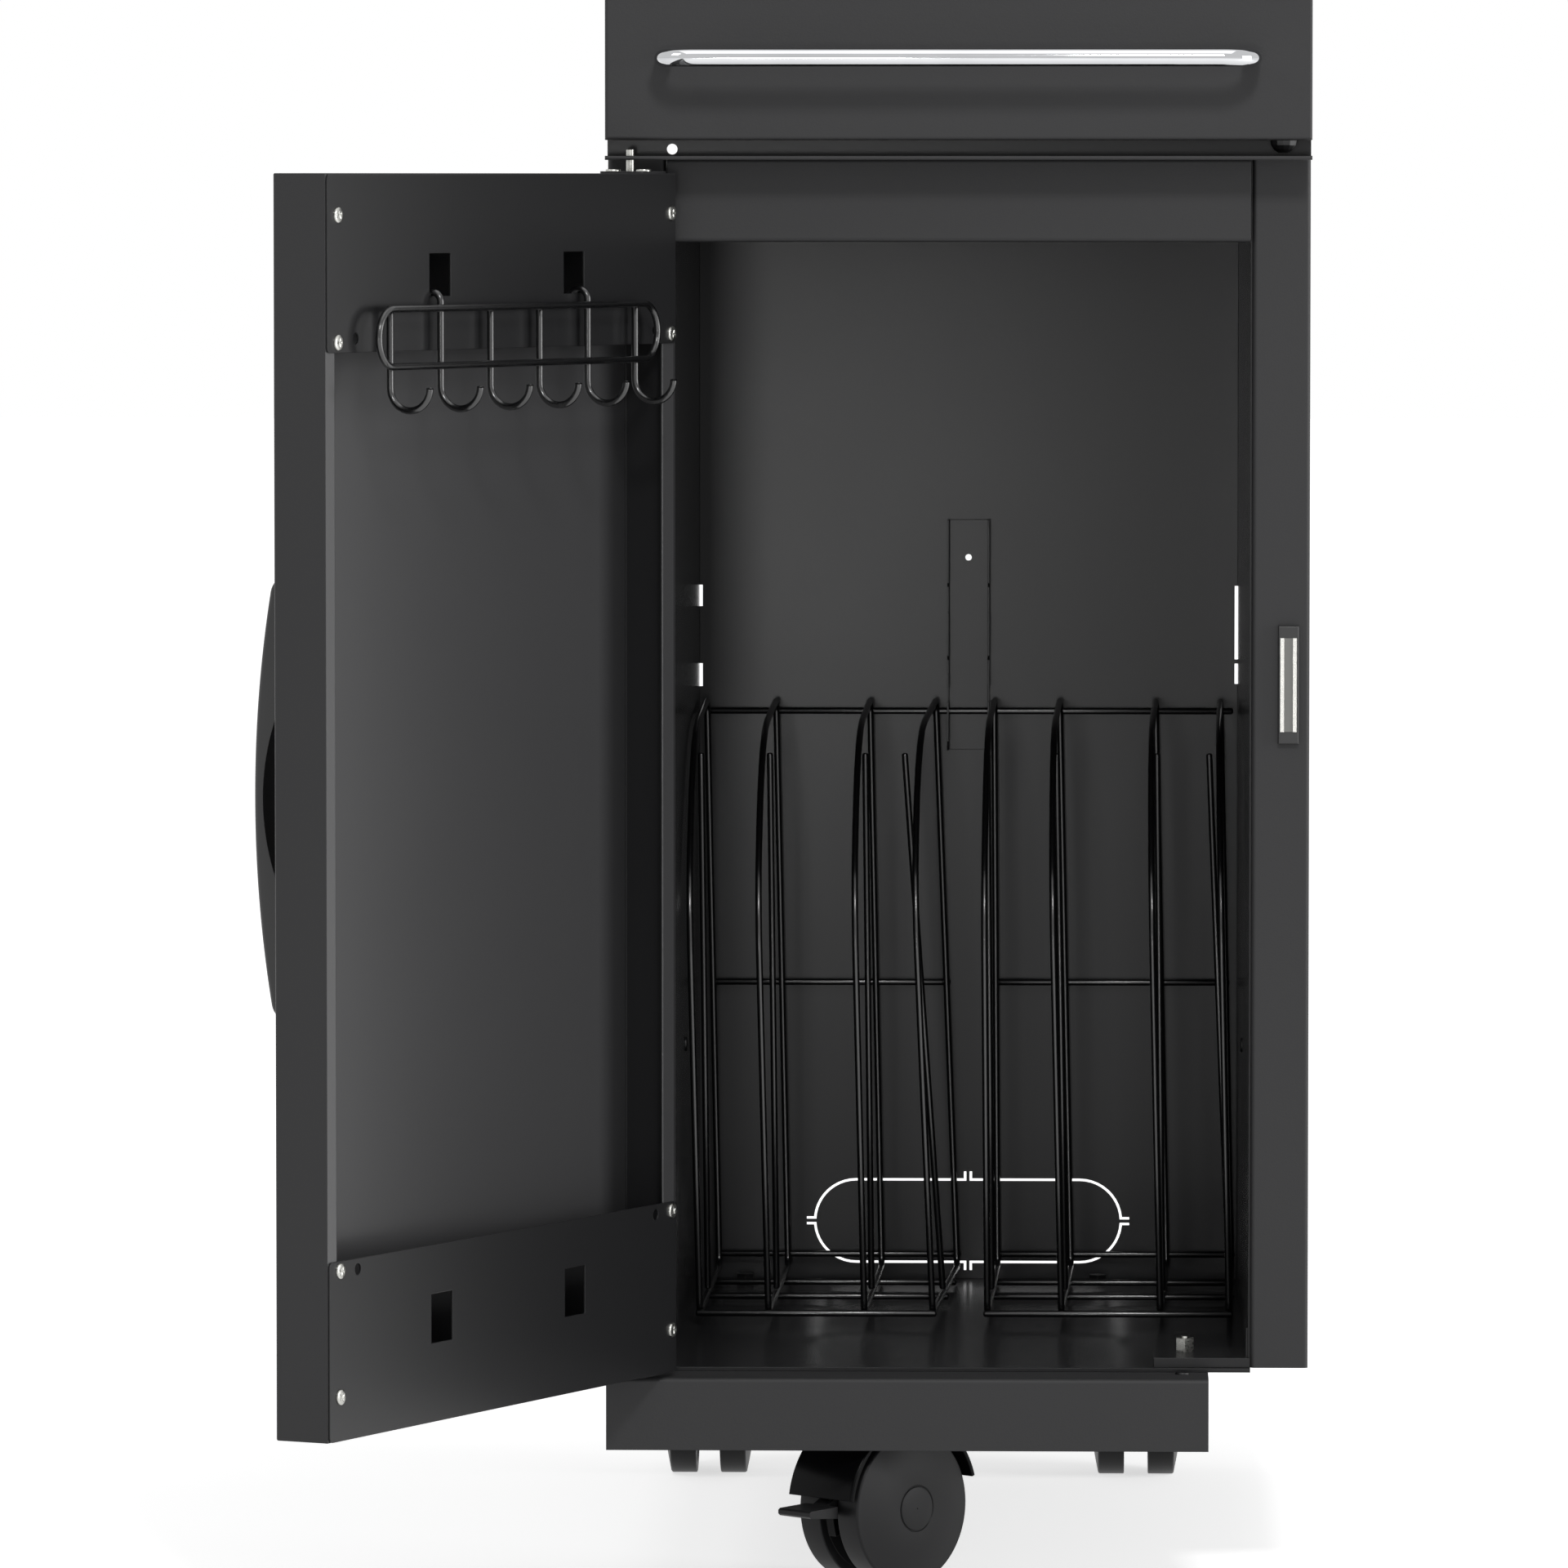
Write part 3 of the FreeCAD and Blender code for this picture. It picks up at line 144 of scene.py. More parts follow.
class StageSettings(bpy.types.PropertyGroup):
    """Camera and light, set for the view that the cart is shown from."""
    camera_x: size("Camera X", "Sideways from the cabinet's centre", 76.1)
    camera_y: size("Camera Y", "Forward of the fascia", -6165.8)
    camera_z: size("Camera Z", "Above the floor", 820.0)
    yaw: bpy.props.FloatProperty(name="Yaw", description="Turn to the left", default=0.0286,
                                 subtype="ANGLE")
    pitch: bpy.props.FloatProperty(name="Pitch", description="Tilt upwards", default=-0.0567,
                                   subtype="ANGLE")
    lens: bpy.props.FloatProperty(name="Lens", description="Focal length", default=245.67,
                                  unit="CAMERA")


def close_and_turn_out(piece):
    """Merge doubled points and make all faces of a piece point outwards."""
    work = bmesh.new()
    work.from_mesh(piece.data)
    bmesh.ops.remove_doubles(work, verts=work.verts, dist=1e-6)
    bmesh.ops.recalc_face_normals(work, faces=work.faces)
    work.to_mesh(piece.data)
    work.free()


def mesh_object(name, points, faces, body, replaces, finish, sharp=35.0):
    """A mesh from arrays of points and of faces, riding on a body in place of some nodes.

    It's shaded smooth, apart from edges that turn further than the sharp angle.
    """
    mesh = bpy.data.meshes.new(name)
    mesh.from_pydata(np.asarray(points, float).reshape(-1, 3).tolist(), [],
                     [list(map(int, f)) for f in faces])
    mesh.validate()
    mesh.polygons.foreach_set("use_smooth", np.full(len(mesh.polygons), True))
    mesh.update()
    piece = bpy.data.objects.new(name, mesh)
    bpy.context.scene.collection.objects.link(piece)
    mesh.materials.append(finish)
    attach(piece, body)
    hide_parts(*replaces)
    close_and_turn_out(piece)
    mesh.set_sharp_from_angle(angle=math.radians(sharp))


def grid_faces(rows, sides, closed=False):
    """Quads between rows of rings, where wanted also from the last ring to the first."""
    i, j = np.meshgrid(np.arange(rows if closed else rows - 1), np.arange(sides), indexing="ij")
    i2 = (i + 1) % rows
    j2 = (j + 1) % sides
    quads = np.stack([i * sides + j, i * sides + j2, i2 * sides + j2, i2 * sides + j], -1)
    return quads.reshape(-1, 4).tolist()


def capped_faces(rows, sides):
    """Quads between rows of rings, and a face over the first and the last ring."""
    faces = grid_faces(rows, sides)
    faces.append(list(range(sides))[::-1])
    faces.append(list(range((rows - 1) * sides, rows * sides)))
    return faces


def square_to(axis):
    """A direction at unit length, and two more square to it and to each other."""
    axis = np.asarray(axis, float) / np.linalg.norm(axis)
    side = np.cross(axis, [0, 0, 1] if abs(axis[2]) < 0.9 else [1, 0, 0])
    side /= np.linalg.norm(side)
    return axis, side, np.cross(axis, side)


def fillet_path(points, radii, steps=10):
    """Points along straight runs whose corners are circular arcs.

    At each corner the arc starts and ends at the radius times the tangent of
    half the turn from the corner, and its points are equal steps of angle.
    """
    points = np.asarray(points, float)
    out = [points[:1]]
    for i in range(1, len(points) - 1):
        before = points[i] - points[i - 1]
        after = points[i + 1] - points[i]
        before /= np.linalg.norm(before)
        after /= np.linalg.norm(after)
        turn = math.acos(float(np.clip(before @ after, -1, 1)))
        radius = radii[i] if isinstance(radii, (list, tuple)) else radii
        if turn < 1e-4 or radius <= 0:
            out.append(points[i:i + 1])
            continue
        cut = radius * math.tan(turn / 2)
        inward = after - before * math.cos(turn)
        inward /= np.linalg.norm(inward)
        start = points[i] - before * cut
        angle = np.linspace(0, turn, max(3, int(steps * turn / 1.5708) + 2))[:, None]
        out.append(start + before * radius * np.sin(angle) + inward * radius * (1 - np.cos(angle)))
    out.append(points[-1:])
    return np.concatenate(out)


DOME_ANGLES, DOME_DEPTH = (75.0, 55.0, 30.0, 0.0), 0.6


def tube(path, radius, sides, across, closed=False, domed=True):
    """Points and faces of a round bar: a circle carried along a flat path.

    At each point of the path the circle stands square to the mean of the two
    neighbouring directions, and across is the direction square to the path's
    plane. At a domed end the circle shrinks as the cosine and closes in as
    the sine of an angle from 0 to 75 degrees, over a share of the radius.
    """
    path = np.asarray(path, float)
    across = np.asarray(across, float) / np.linalg.norm(across)
    ahead = np.roll(path, -1, 0) - path
    behind = np.roll(ahead, 1, 0)
    if not closed:
        ahead[-1] = behind[-1]
        behind[0] = ahead[0]
    tangent = (ahead / np.linalg.norm(ahead, axis=1)[:, None]
               + behind / np.linalg.norm(behind, axis=1)[:, None])
    tangent /= np.linalg.norm(tangent, axis=1)[:, None]
    scale = np.ones(len(path))
    if not closed and domed:
        phi = np.radians(DOME_ANGLES)
        inset = radius * DOME_DEPTH * (1 - np.sin(phi))[:, None]
        path = np.concatenate([path[0] + tangent[0] * inset, path[1:-1],
                               (path[-1] - tangent[-1] * inset)[::-1]])
        scale = np.concatenate([np.cos(phi), scale[1:-1], np.cos(phi)[::-1]])
        tangent = np.concatenate([tangent[:1].repeat(len(phi), 0), tangent[1:-1],
                                  tangent[-1:].repeat(len(phi), 0)])
    up = np.cross(tangent, across)
    angle = np.linspace(0, 2 * math.pi, sides, endpoint=False)[None, :, None]
    ring = across * np.cos(angle) + up[:, None] * np.sin(angle)
    points = path[:, None] + ring * (radius * scale)[:, None, None]
    faces = grid_faces(len(path), sides, True) if closed else capped_faces(len(path), sides)
    return points.reshape(-1, 3), faces


def lathe(profile, centre, axis, segments):
    """Points and faces of a turned form.

    Each (radius, along) pair of a closed profile becomes a circle of that
    radius about the axis, that far along it from the centre.
    """
    profile = np.asarray(profile, float)
    axis, side, other = square_to(axis)
    angle = np.linspace(0, 2 * math.pi, segments, endpoint=False)
    ring = side[None] * np.cos(angle)[:, None] + other[None] * np.sin(angle)[:, None]
    points = (np.asarray(centre, float) + profile[:, None, :1] * ring[None]
              + profile[:, None, 1:] * axis)
    return points.reshape(-1, 3), grid_faces(len(profile), segments)


def swept(rings):
    """Points and faces of a form given by equal rings of points, closed by its two end rings."""
    rings = np.asarray(rings, float)
    return rings.reshape(-1, 3), capped_faces(*rings.shape[:2])


def rounded_block(half, low, high, outer, inner, steps=6):
    """A loop of (across, out) pairs: a rectangle whose corners are quarter circles.

    The two far corners have the outer radius and the two near ones the inner.
    """
    turn = np.linspace(0, math.pi / 2, steps)
    loops = []
    for quarter, (x, y, r) in enumerate(((half - outer, high - outer, outer),
                                         (outer - half, high - outer, outer),
                                         (inner - half, low + inner, inner),
                                         (half - inner, low + inner, inner))):
        angle = turn + quarter * math.pi / 2
        loops.append(np.stack([x + r * np.cos(angle), y + r * np.sin(angle)], 1))
    return np.concatenate(loops)


def joined(pieces):
    """One set of points and faces from several."""
    points, faces, start = [], [], 0
    for p, f in pieces:
        points.append(np.asarray(p).reshape(-1, 3))
        faces += [[int(i) + start for i in face] for face in f]
        start += len(points[-1])
    return np.concatenate(points), faces


def nodes_of(name):
    """A new material, with its tree and its principled shader."""
    material = bpy.data.materials.new(name)
    material.use_nodes = True
    tree = material.node_tree
    shader = tree.nodes["Principled BSDF"]
    return material, tree, shader


def noise(tree, scale, detail, rough=0.55, stretch=None):
    """A noise on object coordinates, with stretched grains where a stretch is given."""
    place = tree.nodes.new("ShaderNodeTexCoord")
    grain = tree.nodes.new("ShaderNodeTexNoise")
    grain.inputs["Scale"].default_value = scale
    grain.inputs["Detail"].default_value = detail
    grain.inputs["Roughness"].default_value = rough
    if stretch is None:
        tree.links.new(place.outputs["Object"], grain.inputs["Vector"])
    else:
        mapping = tree.nodes.new("ShaderNodeMapping")
        mapping.inputs["Scale"].default_value = stretch
        tree.links.new(place.outputs["Object"], mapping.inputs["Vector"])
        tree.links.new(mapping.outputs["Vector"], grain.inputs["Vector"])
    return grain


TONE_SCALE, GLOSS_SCALE = 3.2, 9.0
GLOSS_DRIFT = 0.004
COAT_RELIEF = 0.5
EDGE_ROUNDING, EDGE_SAMPLES = 0.7, 4


def drifting(tree, source, low, high):
    """A noise turned in proportion into a range between two greys or two colours.

    A quarter of the noise's span gives low and three quarters give high, and
    nothing is cut off beyond them.
    """
    low, high = (np.full(3, v) if isinstance(v, float) else np.array(v) for v in (low, high))
    mix = tree.nodes.new("ShaderNodeMix")
    mix.data_type = "RGBA"
    mix.inputs[6].default_value = (*(1.5 * low - 0.5 * high), 1)
    mix.inputs[7].default_value = (*(1.5 * high - 0.5 * low), 1)
    tree.links.new(source, mix.inputs[0])
    return mix.outputs[2]


def bumped(tree, shader, height, grain_depth):
    """Fine relief on a surface whose folds and edges catch light as if rounded."""
    edge = tree.nodes.new("ShaderNodeBevel")
    edge.samples = EDGE_SAMPLES
    edge.inputs["Radius"].default_value = EDGE_ROUNDING * MM
    bump = tree.nodes.new("ShaderNodeBump")
    bump.inputs["Strength"].default_value = COAT_RELIEF
    bump.inputs["Distance"].default_value = grain_depth
    tree.links.new(height, bump.inputs["Height"])
    tree.links.new(edge.outputs["Normal"], bump.inputs["Normal"])
    tree.links.new(bump.outputs["Normal"], shader.inputs["Normal"])


def coat_shader(tree, shader, base, roughness, grain_scale, grain_depth, spread, specular):
    """Powder coat: fine orange peel as bump, with slow drifts in tone and in gloss."""
    slow = noise(tree, TONE_SCALE, 3.0)
    low = tuple(c * (1 - spread) for c in base)
    high = tuple(min(1, c * (1 + spread)) for c in base)
    tree.links.new(drifting(tree, slow.outputs["Fac"], low, high), shader.inputs["Base Color"])
    drift = noise(tree, GLOSS_SCALE, 2.0)
    tree.links.new(drifting(tree, drift.outputs["Fac"], roughness - GLOSS_DRIFT,
                            roughness + GLOSS_DRIFT), shader.inputs["Roughness"])
    peel = noise(tree, grain_scale, 2.0, 0.5)
    bumped(tree, shader, peel.outputs["Fac"], grain_depth)
    shader.inputs["Specular IOR Level"].default_value = specular


def coat(name, *look):
    """A coated or moulded surface of one kind."""
    material, tree, shader = nodes_of(name)
    coat_shader(tree, shader, *look)
    return material


def beyond(tree, direction, limit):
    """A value of 1 where the place along a direction is past a limit, and 0 before it."""
    place = tree.nodes.new("ShaderNodeTexCoord")
    along = tree.nodes.new("ShaderNodeVectorMath")
    along.operation = "DOT_PRODUCT"
    along.inputs[1].default_value = tuple(float(v) for v in direction)
    tree.links.new(place.outputs["Object"], along.inputs[0])
    past = tree.nodes.new("ShaderNodeMath")
    past.operation = "GREATER_THAN"
    past.inputs[1].default_value = float(limit)
    tree.links.new(along.outputs["Value"], past.inputs[0])
    return past.outputs[0]


def both(tree, first, second):
    """A value of 1 where two such values are both 1."""
    product = tree.nodes.new("ShaderNodeMath")
    product.operation = "MULTIPLY"
    tree.links.new(first, product.inputs[0])
    tree.links.new(second, product.inputs[1])
    return product.outputs[0]


DOOR_INSIDE, DOOR_LATCH_EDGE, DOOR_RIM = -10.5, 391.3, 0.7
# where the hinge wall begins and ends along the leaf, in millimetres; between them its inner side
# is painted shade
DOOR_WALL = (-12.2, -11.4)


def door_coat(outer, lining, wall):
    """The door skin's coat: textured outside, smoother and glossier on its inner side.

    The inner side is everything further in than half the sheet, short of the
    latch edge and of the upper and lower rim. The inner side of the hinge wall
    is painted shade: it takes the darker inner coat with little sheen, where
    the corner by the hinge lies in shade. The places are measured along the
    door's own directions.
    """
    material, tree, shader = nodes_of("powder_coat_door")
    coat_shader(tree, shader, *outer)
    pin, along, inward = door_axes()
    inside = beyond(tree, inward, pin @ inward + DOOR_INSIDE * MM)
    short = beyond(tree, -along, -(pin @ along) - DOOR_LATCH_EDGE * MM)
    low, high = (corner[2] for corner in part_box("door_skin"))
    inside = both(tree, inside, beyond(tree, (0, 0, 1), low + DOOR_RIM * MM))
    inside = both(tree, inside, beyond(tree, (0, 0, -1), DOOR_RIM * MM - high))
    shade_past_hinge, past_wall = (beyond(tree, along, pin @ along + u * MM) for u in DOOR_WALL)
    surface = shader.outputs[0]
    # first the painted shade on the hinge wall, then the door lining over the rest of the inner
    # side
    for coating, place in ((wall, shade_past_hinge), (lining, past_wall)):
        layer = tree.nodes.new("ShaderNodeBsdfPrincipled")
        coat_shader(tree, layer, *coating)
        blend = tree.nodes.new("ShaderNodeMixShader")
        tree.links.new(both(tree, both(tree, inside, short), place), blend.inputs[0])
        tree.links.new(surface, blend.inputs[1])
        tree.links.new(layer.outputs[0], blend.inputs[2])
        surface = blend.outputs[0]
    tree.links.new(surface, tree.nodes["Material Output"].inputs["Surface"])
    return material


# shares of a metal's roughness and colour at both ends of its streaks and drifts
METAL_GLOSS, METAL_MATTE, METAL_TONE = 0.7, 1.4, 0.93
METAL_TONE_SCALE, METAL_RELIEF = 30.0, 0.3


def metal(name, base, roughness, streak, scratch, depth=0.00001):
    """Plated or ground metal: fine streaks in roughness and a faint bump along one way."""
    material, tree, shader = nodes_of(name)
    shader.inputs["Metallic"].default_value = 1.0
    marks = noise(tree, scratch, 3.0, 0.6, streak)
    tree.links.new(drifting(tree, marks.outputs["Fac"], roughness * METAL_GLOSS,
                            roughness * METAL_MATTE), shader.inputs["Roughness"])
    tone = noise(tree, METAL_TONE_SCALE, 2.0)
    low = tuple(c * METAL_TONE for c in base)
    tree.links.new(drifting(tree, tone.outputs["Fac"], low, tuple(base)),
                   shader.inputs["Base Color"])
    bump = tree.nodes.new("ShaderNodeBump")
    bump.inputs["Strength"].default_value = METAL_RELIEF
    bump.inputs["Distance"].default_value = depth
    tree.links.new(marks.outputs["Fac"], bump.inputs["Height"])
    tree.links.new(bump.outputs["Normal"], shader.inputs["Normal"])
    return material


# grains per metre, and their depth in metres
TEXTURED, SMOOTH, GLOSSY = (900.0, 0.00012), (420.0, 0.00004), (300.0, 0.00003)
LINING_ROUGHNESS, WALL_ROUGHNESS, WALL_SPECULAR = 0.28, 0.34, 0.1
# name, colour, roughness, grains per metre, their depth, spread of tone, mirror strength
PLAIN_COATS = {
    "plates": ("coat_door_plates", "door_plates", 0.28, *SMOOTH, 0.05, 0.28),
    "wire": ("wire_gloss", "wire", 0.22, 260.0, 0.00003, 0.1, 0.8),
    "plastic": ("moulded_plastic", "plastic", 0.42, 700.0, 0.00005, 0.08, 0.5),
    "caster": ("caster_plastic", "caster", 0.40, *GLOSSY, 0.1, 0.16),
    "hood": ("hood_plastic", "hood", 0.22, *GLOSSY, 0.1, 0.07),
    "black_screw": ("black_screw", "wire", 0.4, 900.0, 0.00003, 0.1, 0.5),
    "magnet": ("magnet_ferrite", "magnet", 0.5, 1200.0, 0.00006, 0.1, 0.4),
}
# name, colour, roughness, stretch of the streaks, streaks per metre, and their depth
METALS = {
    "chrome": ("chrome_plate", "chrome", 0.05, (1, 20, 20), 60.0, 0.000002),
    "zinc": ("zinc_plate", "zinc", 0.28, (1, 1, 1), 500.0),
    "steel": ("bright_steel", "steel", 0.24, (8, 8, 1), 400.0),
}
FINISHES = {}


def finishes():
    """All materials, made once from the coating settings."""
    if FINISHES:
        return FINISHES
    s = bpy.context.scene.cart_coating
    outer = (s.outer, s.outer_roughness, *TEXTURED, 0.04, s.outer_specular)
    inner = (s.inner, s.inner_roughness, *SMOOTH, 0.05, s.inner_specular)
    lining = (s.door_lining, LINING_ROUGHNESS, *SMOOTH, 0.025, s.lining_specular)
    # painted shade for the door's hinge wall: the darker inner colour with little sheen
    wall = (s.inner, WALL_ROUGHNESS, *SMOOTH, 0.05, WALL_SPECULAR)
    FINISHES.update(outer=coat("powder_coat_outer", *outer), inner=coat("coat_inner", *inner),
                    door=door_coat(outer, lining, wall))
    for make, table in ((coat, PLAIN_COATS), (metal, METALS)):
        for key, (name, base, *look) in table.items():
            FINISHES[key] = make(name, getattr(s, base), *look)
    return FINISHES


NODE_FINISH = {
    "outer": ("worktop", "fascia_panel", "top_side_left", "top_side_right", "top_rear_apron",
              "side_panel_left", "side_panel_right", "base_pan", "deck_plate", "header_panel",
              "hinge_plates"),
    "door": ("door_skin",),
    "inner": ("top_web", "inner_wall_left", "inner_wall_right", "back_panel", "floor_panel",
              "hanger_bracket", "foot_bracket"),
    "plates": ("door_top_plate", "door_bottom_plate"),
    "wire": ("hook_rack_loop", "hook_rack_hooks", "rack_hoops_left", "rack_hoops_right",
             "rack_uprights", "rack_cross_wires"),
    "chrome": ("towel_bar",),
    "zinc": ("door_screws", "hinge_pins", "foot_bolt", "caster_plates"),
    "black_screw": ("floor_bolts", "wall_screws"),
    "steel": ("catch_strips",),
    "magnet": ("catch_magnet",),
    "plastic": ("door_handle", "catch_housing", "fascia_bumper"),
}


class CART_OT_coat_frame(bpy.types.Operator):
    """Give every piece of the frame its coating"""
    bl_idname = "cart.coat_frame"
    bl_label = "Coat the Frame"

    def execute(self, context):
        materials = finishes()
        chosen = {node: key for key, nodes in NODE_FINISH.items() for node in nodes}
        for node, piece in NODES.items():
            material = materials[chosen.get(node, "caster")]
            piece.data.materials.clear()
            piece.data.materials.append(material)
        return {"FINISHED"}


# Each hoop's place across, its lean and its turn; then the shape that all hoops share
HOOP_PLACES = (-160.0, -116.7, -57.8, -13.5, 17.5, 61.0, 121.0, 161.5)
HOOP_LEANS = (1.2, 1.2, 1.2, 2.2, 0.4, 1.2, 1.2, 1.2)
HOOP_TURNS = (0.5, 0.9, 1.1, 2.4, 0.8, 1.1, 1.2, 1.0)
UPRIGHT_LEANS = (0.7, 0.7, 0.7, 4.1, 0.5, 1.0, 0.7, 2.3)
HOOP_BASE, HOOP_BACK, LEAN_RISE = 136.0, 532.0, 179.0
HOOP_PROFILE = ((532.0, 136.0), (260.0, 136.0), (238.0, 388.0), (331.0, 481.5), (532.0, 492.5))
HOOP_BENDS = (8.0, 8.0, 80.0, 200.0, 8.0)
UPRIGHT_Y, UPRIGHT_RISE, UPRIGHT_TOP = 372.0, 2.3, 468.0
CROSS_END = 2.5
TOP_WIRE = (166.0, 485.5)
REAR_WIRE = 143.6
LOW_WIRES = (392.0, 477.0)


def hoop_x(i, y, z):
    """Where a hoop's leaning and turned plane stands across the cart, in millimetres."""
    return (HOOP_PLACES[i] - math.tan(math.radians(HOOP_LEANS[i])) * (z - HOOP_BASE - LEAN_RISE)
            - math.tan(math.radians(HOOP_TURNS[i])) * (HOOP_BACK - y))


def in_cabinet(points):
    """Points given from the cabinet's centre plane, the fascia and the floor, in the frame."""
    origin = np.array([CABINET_X, CABINET_Y, CABINET_Z])
    return np.asarray(points, float) * MM + origin


def cross_wires(weld):
    """Where the rack's cross wires run, as (start, end, back, up) in millimetres.

    Each lies a weld step outside the hoops. The front pair lies along the bend
    at the hoops' lower front corner, whose centre is a bend's radius behind the
    line up to the next corner: along the base by radius x (1 / cos slope - tan slope).
    """
    back = HOOP_BACK + weld
    (front, base), (brow, top), bend = HOOP_PROFILE[1], HOOP_PROFILE[2], HOOP_BENDS[1]
    slope = math.atan2(front - brow, top - base)
    corner = front + bend * (1 / math.cos(slope) - math.tan(slope))
    reach = (bend + weld) * math.sqrt(0.5)
    levels = [(back, HOOP_BASE + LEAN_RISE), (back, REAR_WIRE),
              (corner - reach, base + bend - reach)]
    levels += [(y, HOOP_BASE - weld) for y in LOW_WIRES]
    wires = [(-TOP_WIRE[0], TOP_WIRE[0], back, TOP_WIRE[1])]
    for y, z in levels:
        for first, last in ((0, 3), (4, 7)):
            wires.append((hoop_x(first, y, z) - CROSS_END, hoop_x(last, y, z) + CROSS_END, y, z))
    return wires


class CART_OT_wire_rack(bpy.types.Operator):
    """Round wires for the rack in the cabinet"""
    bl_idname = "cart.wire_rack"
    bl_label = "Wire Rack"

    def execute(self, context):
        s = context.scene.cart_wire
        radius = s.diameter / 2
        groups = {"rack_hoops_left": [], "rack_hoops_right": [], "rack_uprights": []}
        middle = (HOOP_BACK, (HOOP_PROFILE[0][1] + HOOP_PROFILE[-1][1]) / 2)
        for i in range(8):
            loop = [(hoop_x(i, y, z), y, z) for y, z in (middle,) + HOOP_PROFILE + (middle,)]
            path = fillet_path(loop, (0,) + HOOP_BENDS + (0,), 9)[:-1]
            across = (1, -math.tan(math.radians(HOOP_TURNS[i])),
                      math.tan(math.radians(HOOP_LEANS[i])))
            made = tube(in_cabinet(path), radius, s.sides, across, True)
            groups["rack_hoops_left" if i < 4 else "rack_hoops_right"].append(made)
            foot = HOOP_BASE + UPRIGHT_RISE
            foot_x = hoop_x(i, UPRIGHT_Y, foot)
            top_x = foot_x - math.tan(math.radians(UPRIGHT_LEANS[i])) * (UPRIGHT_TOP - foot)
            stand = in_cabinet([(foot_x, UPRIGHT_Y, foot), (top_x, UPRIGHT_Y, UPRIGHT_TOP)])
            groups["rack_uprights"].append(tube(stand, radius, s.sides, (0, 1, 0)))
        crossings = [tube(in_cabinet([(a, y, z), (b, y, z)]), radius, s.sides, (0, 0, 1))
                     for a, b, y, z in cross_wires(s.weld / MM)]
        material = finishes()["wire"]
        for name, made in groups.items():
            mesh_object("wire_" + name, *joined(made), "wire_rack", (name,), material)
        mesh_object("wire_rack_cross_wires", *joined(crossings), "wire_rack",
                    ("rack_cross_wires",), material)
        return {"FINISHED"}


def door_axes():
    """The hinge pin's place and the door's directions along the leaf and out of its inner face."""
    pin = np.array(joint("door_hinge")["pos_m"], float)
    pin[2] = 0
    swing = math.radians(joint("door_hinge")["range_deg"][1])
    along = np.array([math.cos(swing), -math.sin(swing), 0])
    inward = np.array([math.sin(swing), math.cos(swing), 0])
    return pin, along, inward


def on_door(points):
    """Points given as (along the leaf, inwards, up) in millimetres, in the frame."""
    pin, along, inward = door_axes()
    p = np.asarray(points, float) * MM
    return pin + p[..., :1] * along + p[..., 1:2] * inward + (p[..., 2:3] + CABINET_Z) * UP


# The hook rack's loop, hooks and seats, along the leaf, inwards and up
HOOK_FIRST, HOOK_STEP, HOOKS = 46.6, 56.8, 6
HOOK_STEM, LOOP_DEPTH, LOOP_LEVEL = 28.0, 32.1, 731.6
LOOP_HALF, LOOP_REACH = 15.85, 161.5
HOOK_DROP, HOOK_OUT, HOOK_LIP, HOOK_BEND = 24.0, 25.0, 13.0, 12.49
SEAT_LEVEL, SEAT_IN, SEAT_DROP, SEAT_BEND = 756.2, 11.0, 11.5, 5.49
HUNG_HOOKS = (1, 4)


class CART_OT_hook_rack(bpy.types.Operator):
    """Round wires for the hook rack on the door"""
    bl_idname = "cart.hook_rack"
    bl_label = "Hook Rack"

    def execute(self, context):
        s = context.scene.cart_wire
        radius = s.diameter / 2
        middle = HOOK_FIRST + HOOK_STEP * (HOOKS - 1) / 2
        left, right = middle - LOOP_REACH, middle + LOOP_REACH
        low, high = LOOP_LEVEL - LOOP_HALF, LOOP_LEVEL + LOOP_HALF
        corners = [(u, LOOP_DEPTH, z) for u, z in ((middle, low), (right, low), (right, high),
                                                   (left, high), (left, low), (middle, low))]
        path = fillet_path(corners, LOOP_HALF - 0.01, 12)[:-1]
        material = finishes()["wire"]
        along, inward = door_axes()[1:]
        mesh_object("wire_hook_loop", *tube(on_door(path), radius, s.sides, inward, True),
                    "hook_rack", ("hook_rack_loop",), material)
        hooks = []
        bottom = low - HOOK_DROP
        for i in range(HOOKS):
            u = HOOK_FIRST + HOOK_STEP * i
            line = [(u, HOOK_STEM + HOOK_OUT, bottom + HOOK_LIP),
                    (u, HOOK_STEM + HOOK_OUT, bottom), (u, HOOK_STEM, bottom)]
            bends = [0, HOOK_BEND, HOOK_BEND]
            if i in HUNG_HOOKS:
                line += [(u, HOOK_STEM, SEAT_LEVEL), (u, HOOK_STEM - SEAT_IN, SEAT_LEVEL),
                         (u, HOOK_STEM - SEAT_IN, SEAT_LEVEL - SEAT_DROP)]
                bends += [SEAT_BEND, SEAT_BEND, 0]
            else:
                line.append((u, HOOK_STEM, high + radius / MM))
                bends.append(0)
            hooks.append(tube(on_door(fillet_path(line, bends, 10)), radius, s.sides, along))
        mesh_object("wire_hooks", *joined(hooks), "hook_rack", ("hook_rack_hooks",), material)
        return {"FINISHED"}


BAR_SIDES, BAR_BEND_STEPS = 32, 16


class CART_OT_towel_bar(bpy.types.Operator):
    """Polished towel bar, bent back to the fascia at each end"""
    bl_idname = "cart.towel_bar"
    bl_label = "Towel Bar"

    def execute(self, context):
        s = context.scene.cart_bar
        low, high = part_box("towel_bar")
        radius = s.diameter / 2
        y = low.y + radius
        z = (low.z + high.z) / 2
        left, right = low.x + radius, high.x - radius
        corners = [(left, CABINET_Y, z), (left, y, z), (right, y, z), (right, CABINET_Y, z)]
        path = fillet_path(corners, s.bend, BAR_BEND_STEPS)
        mesh_object("towel_bar_polished", *tube(path, radius, BAR_SIDES, UP, domed=False),
                    "cart", ("towel_bar",), finishes()["chrome"])
        return {"FINISHED"}


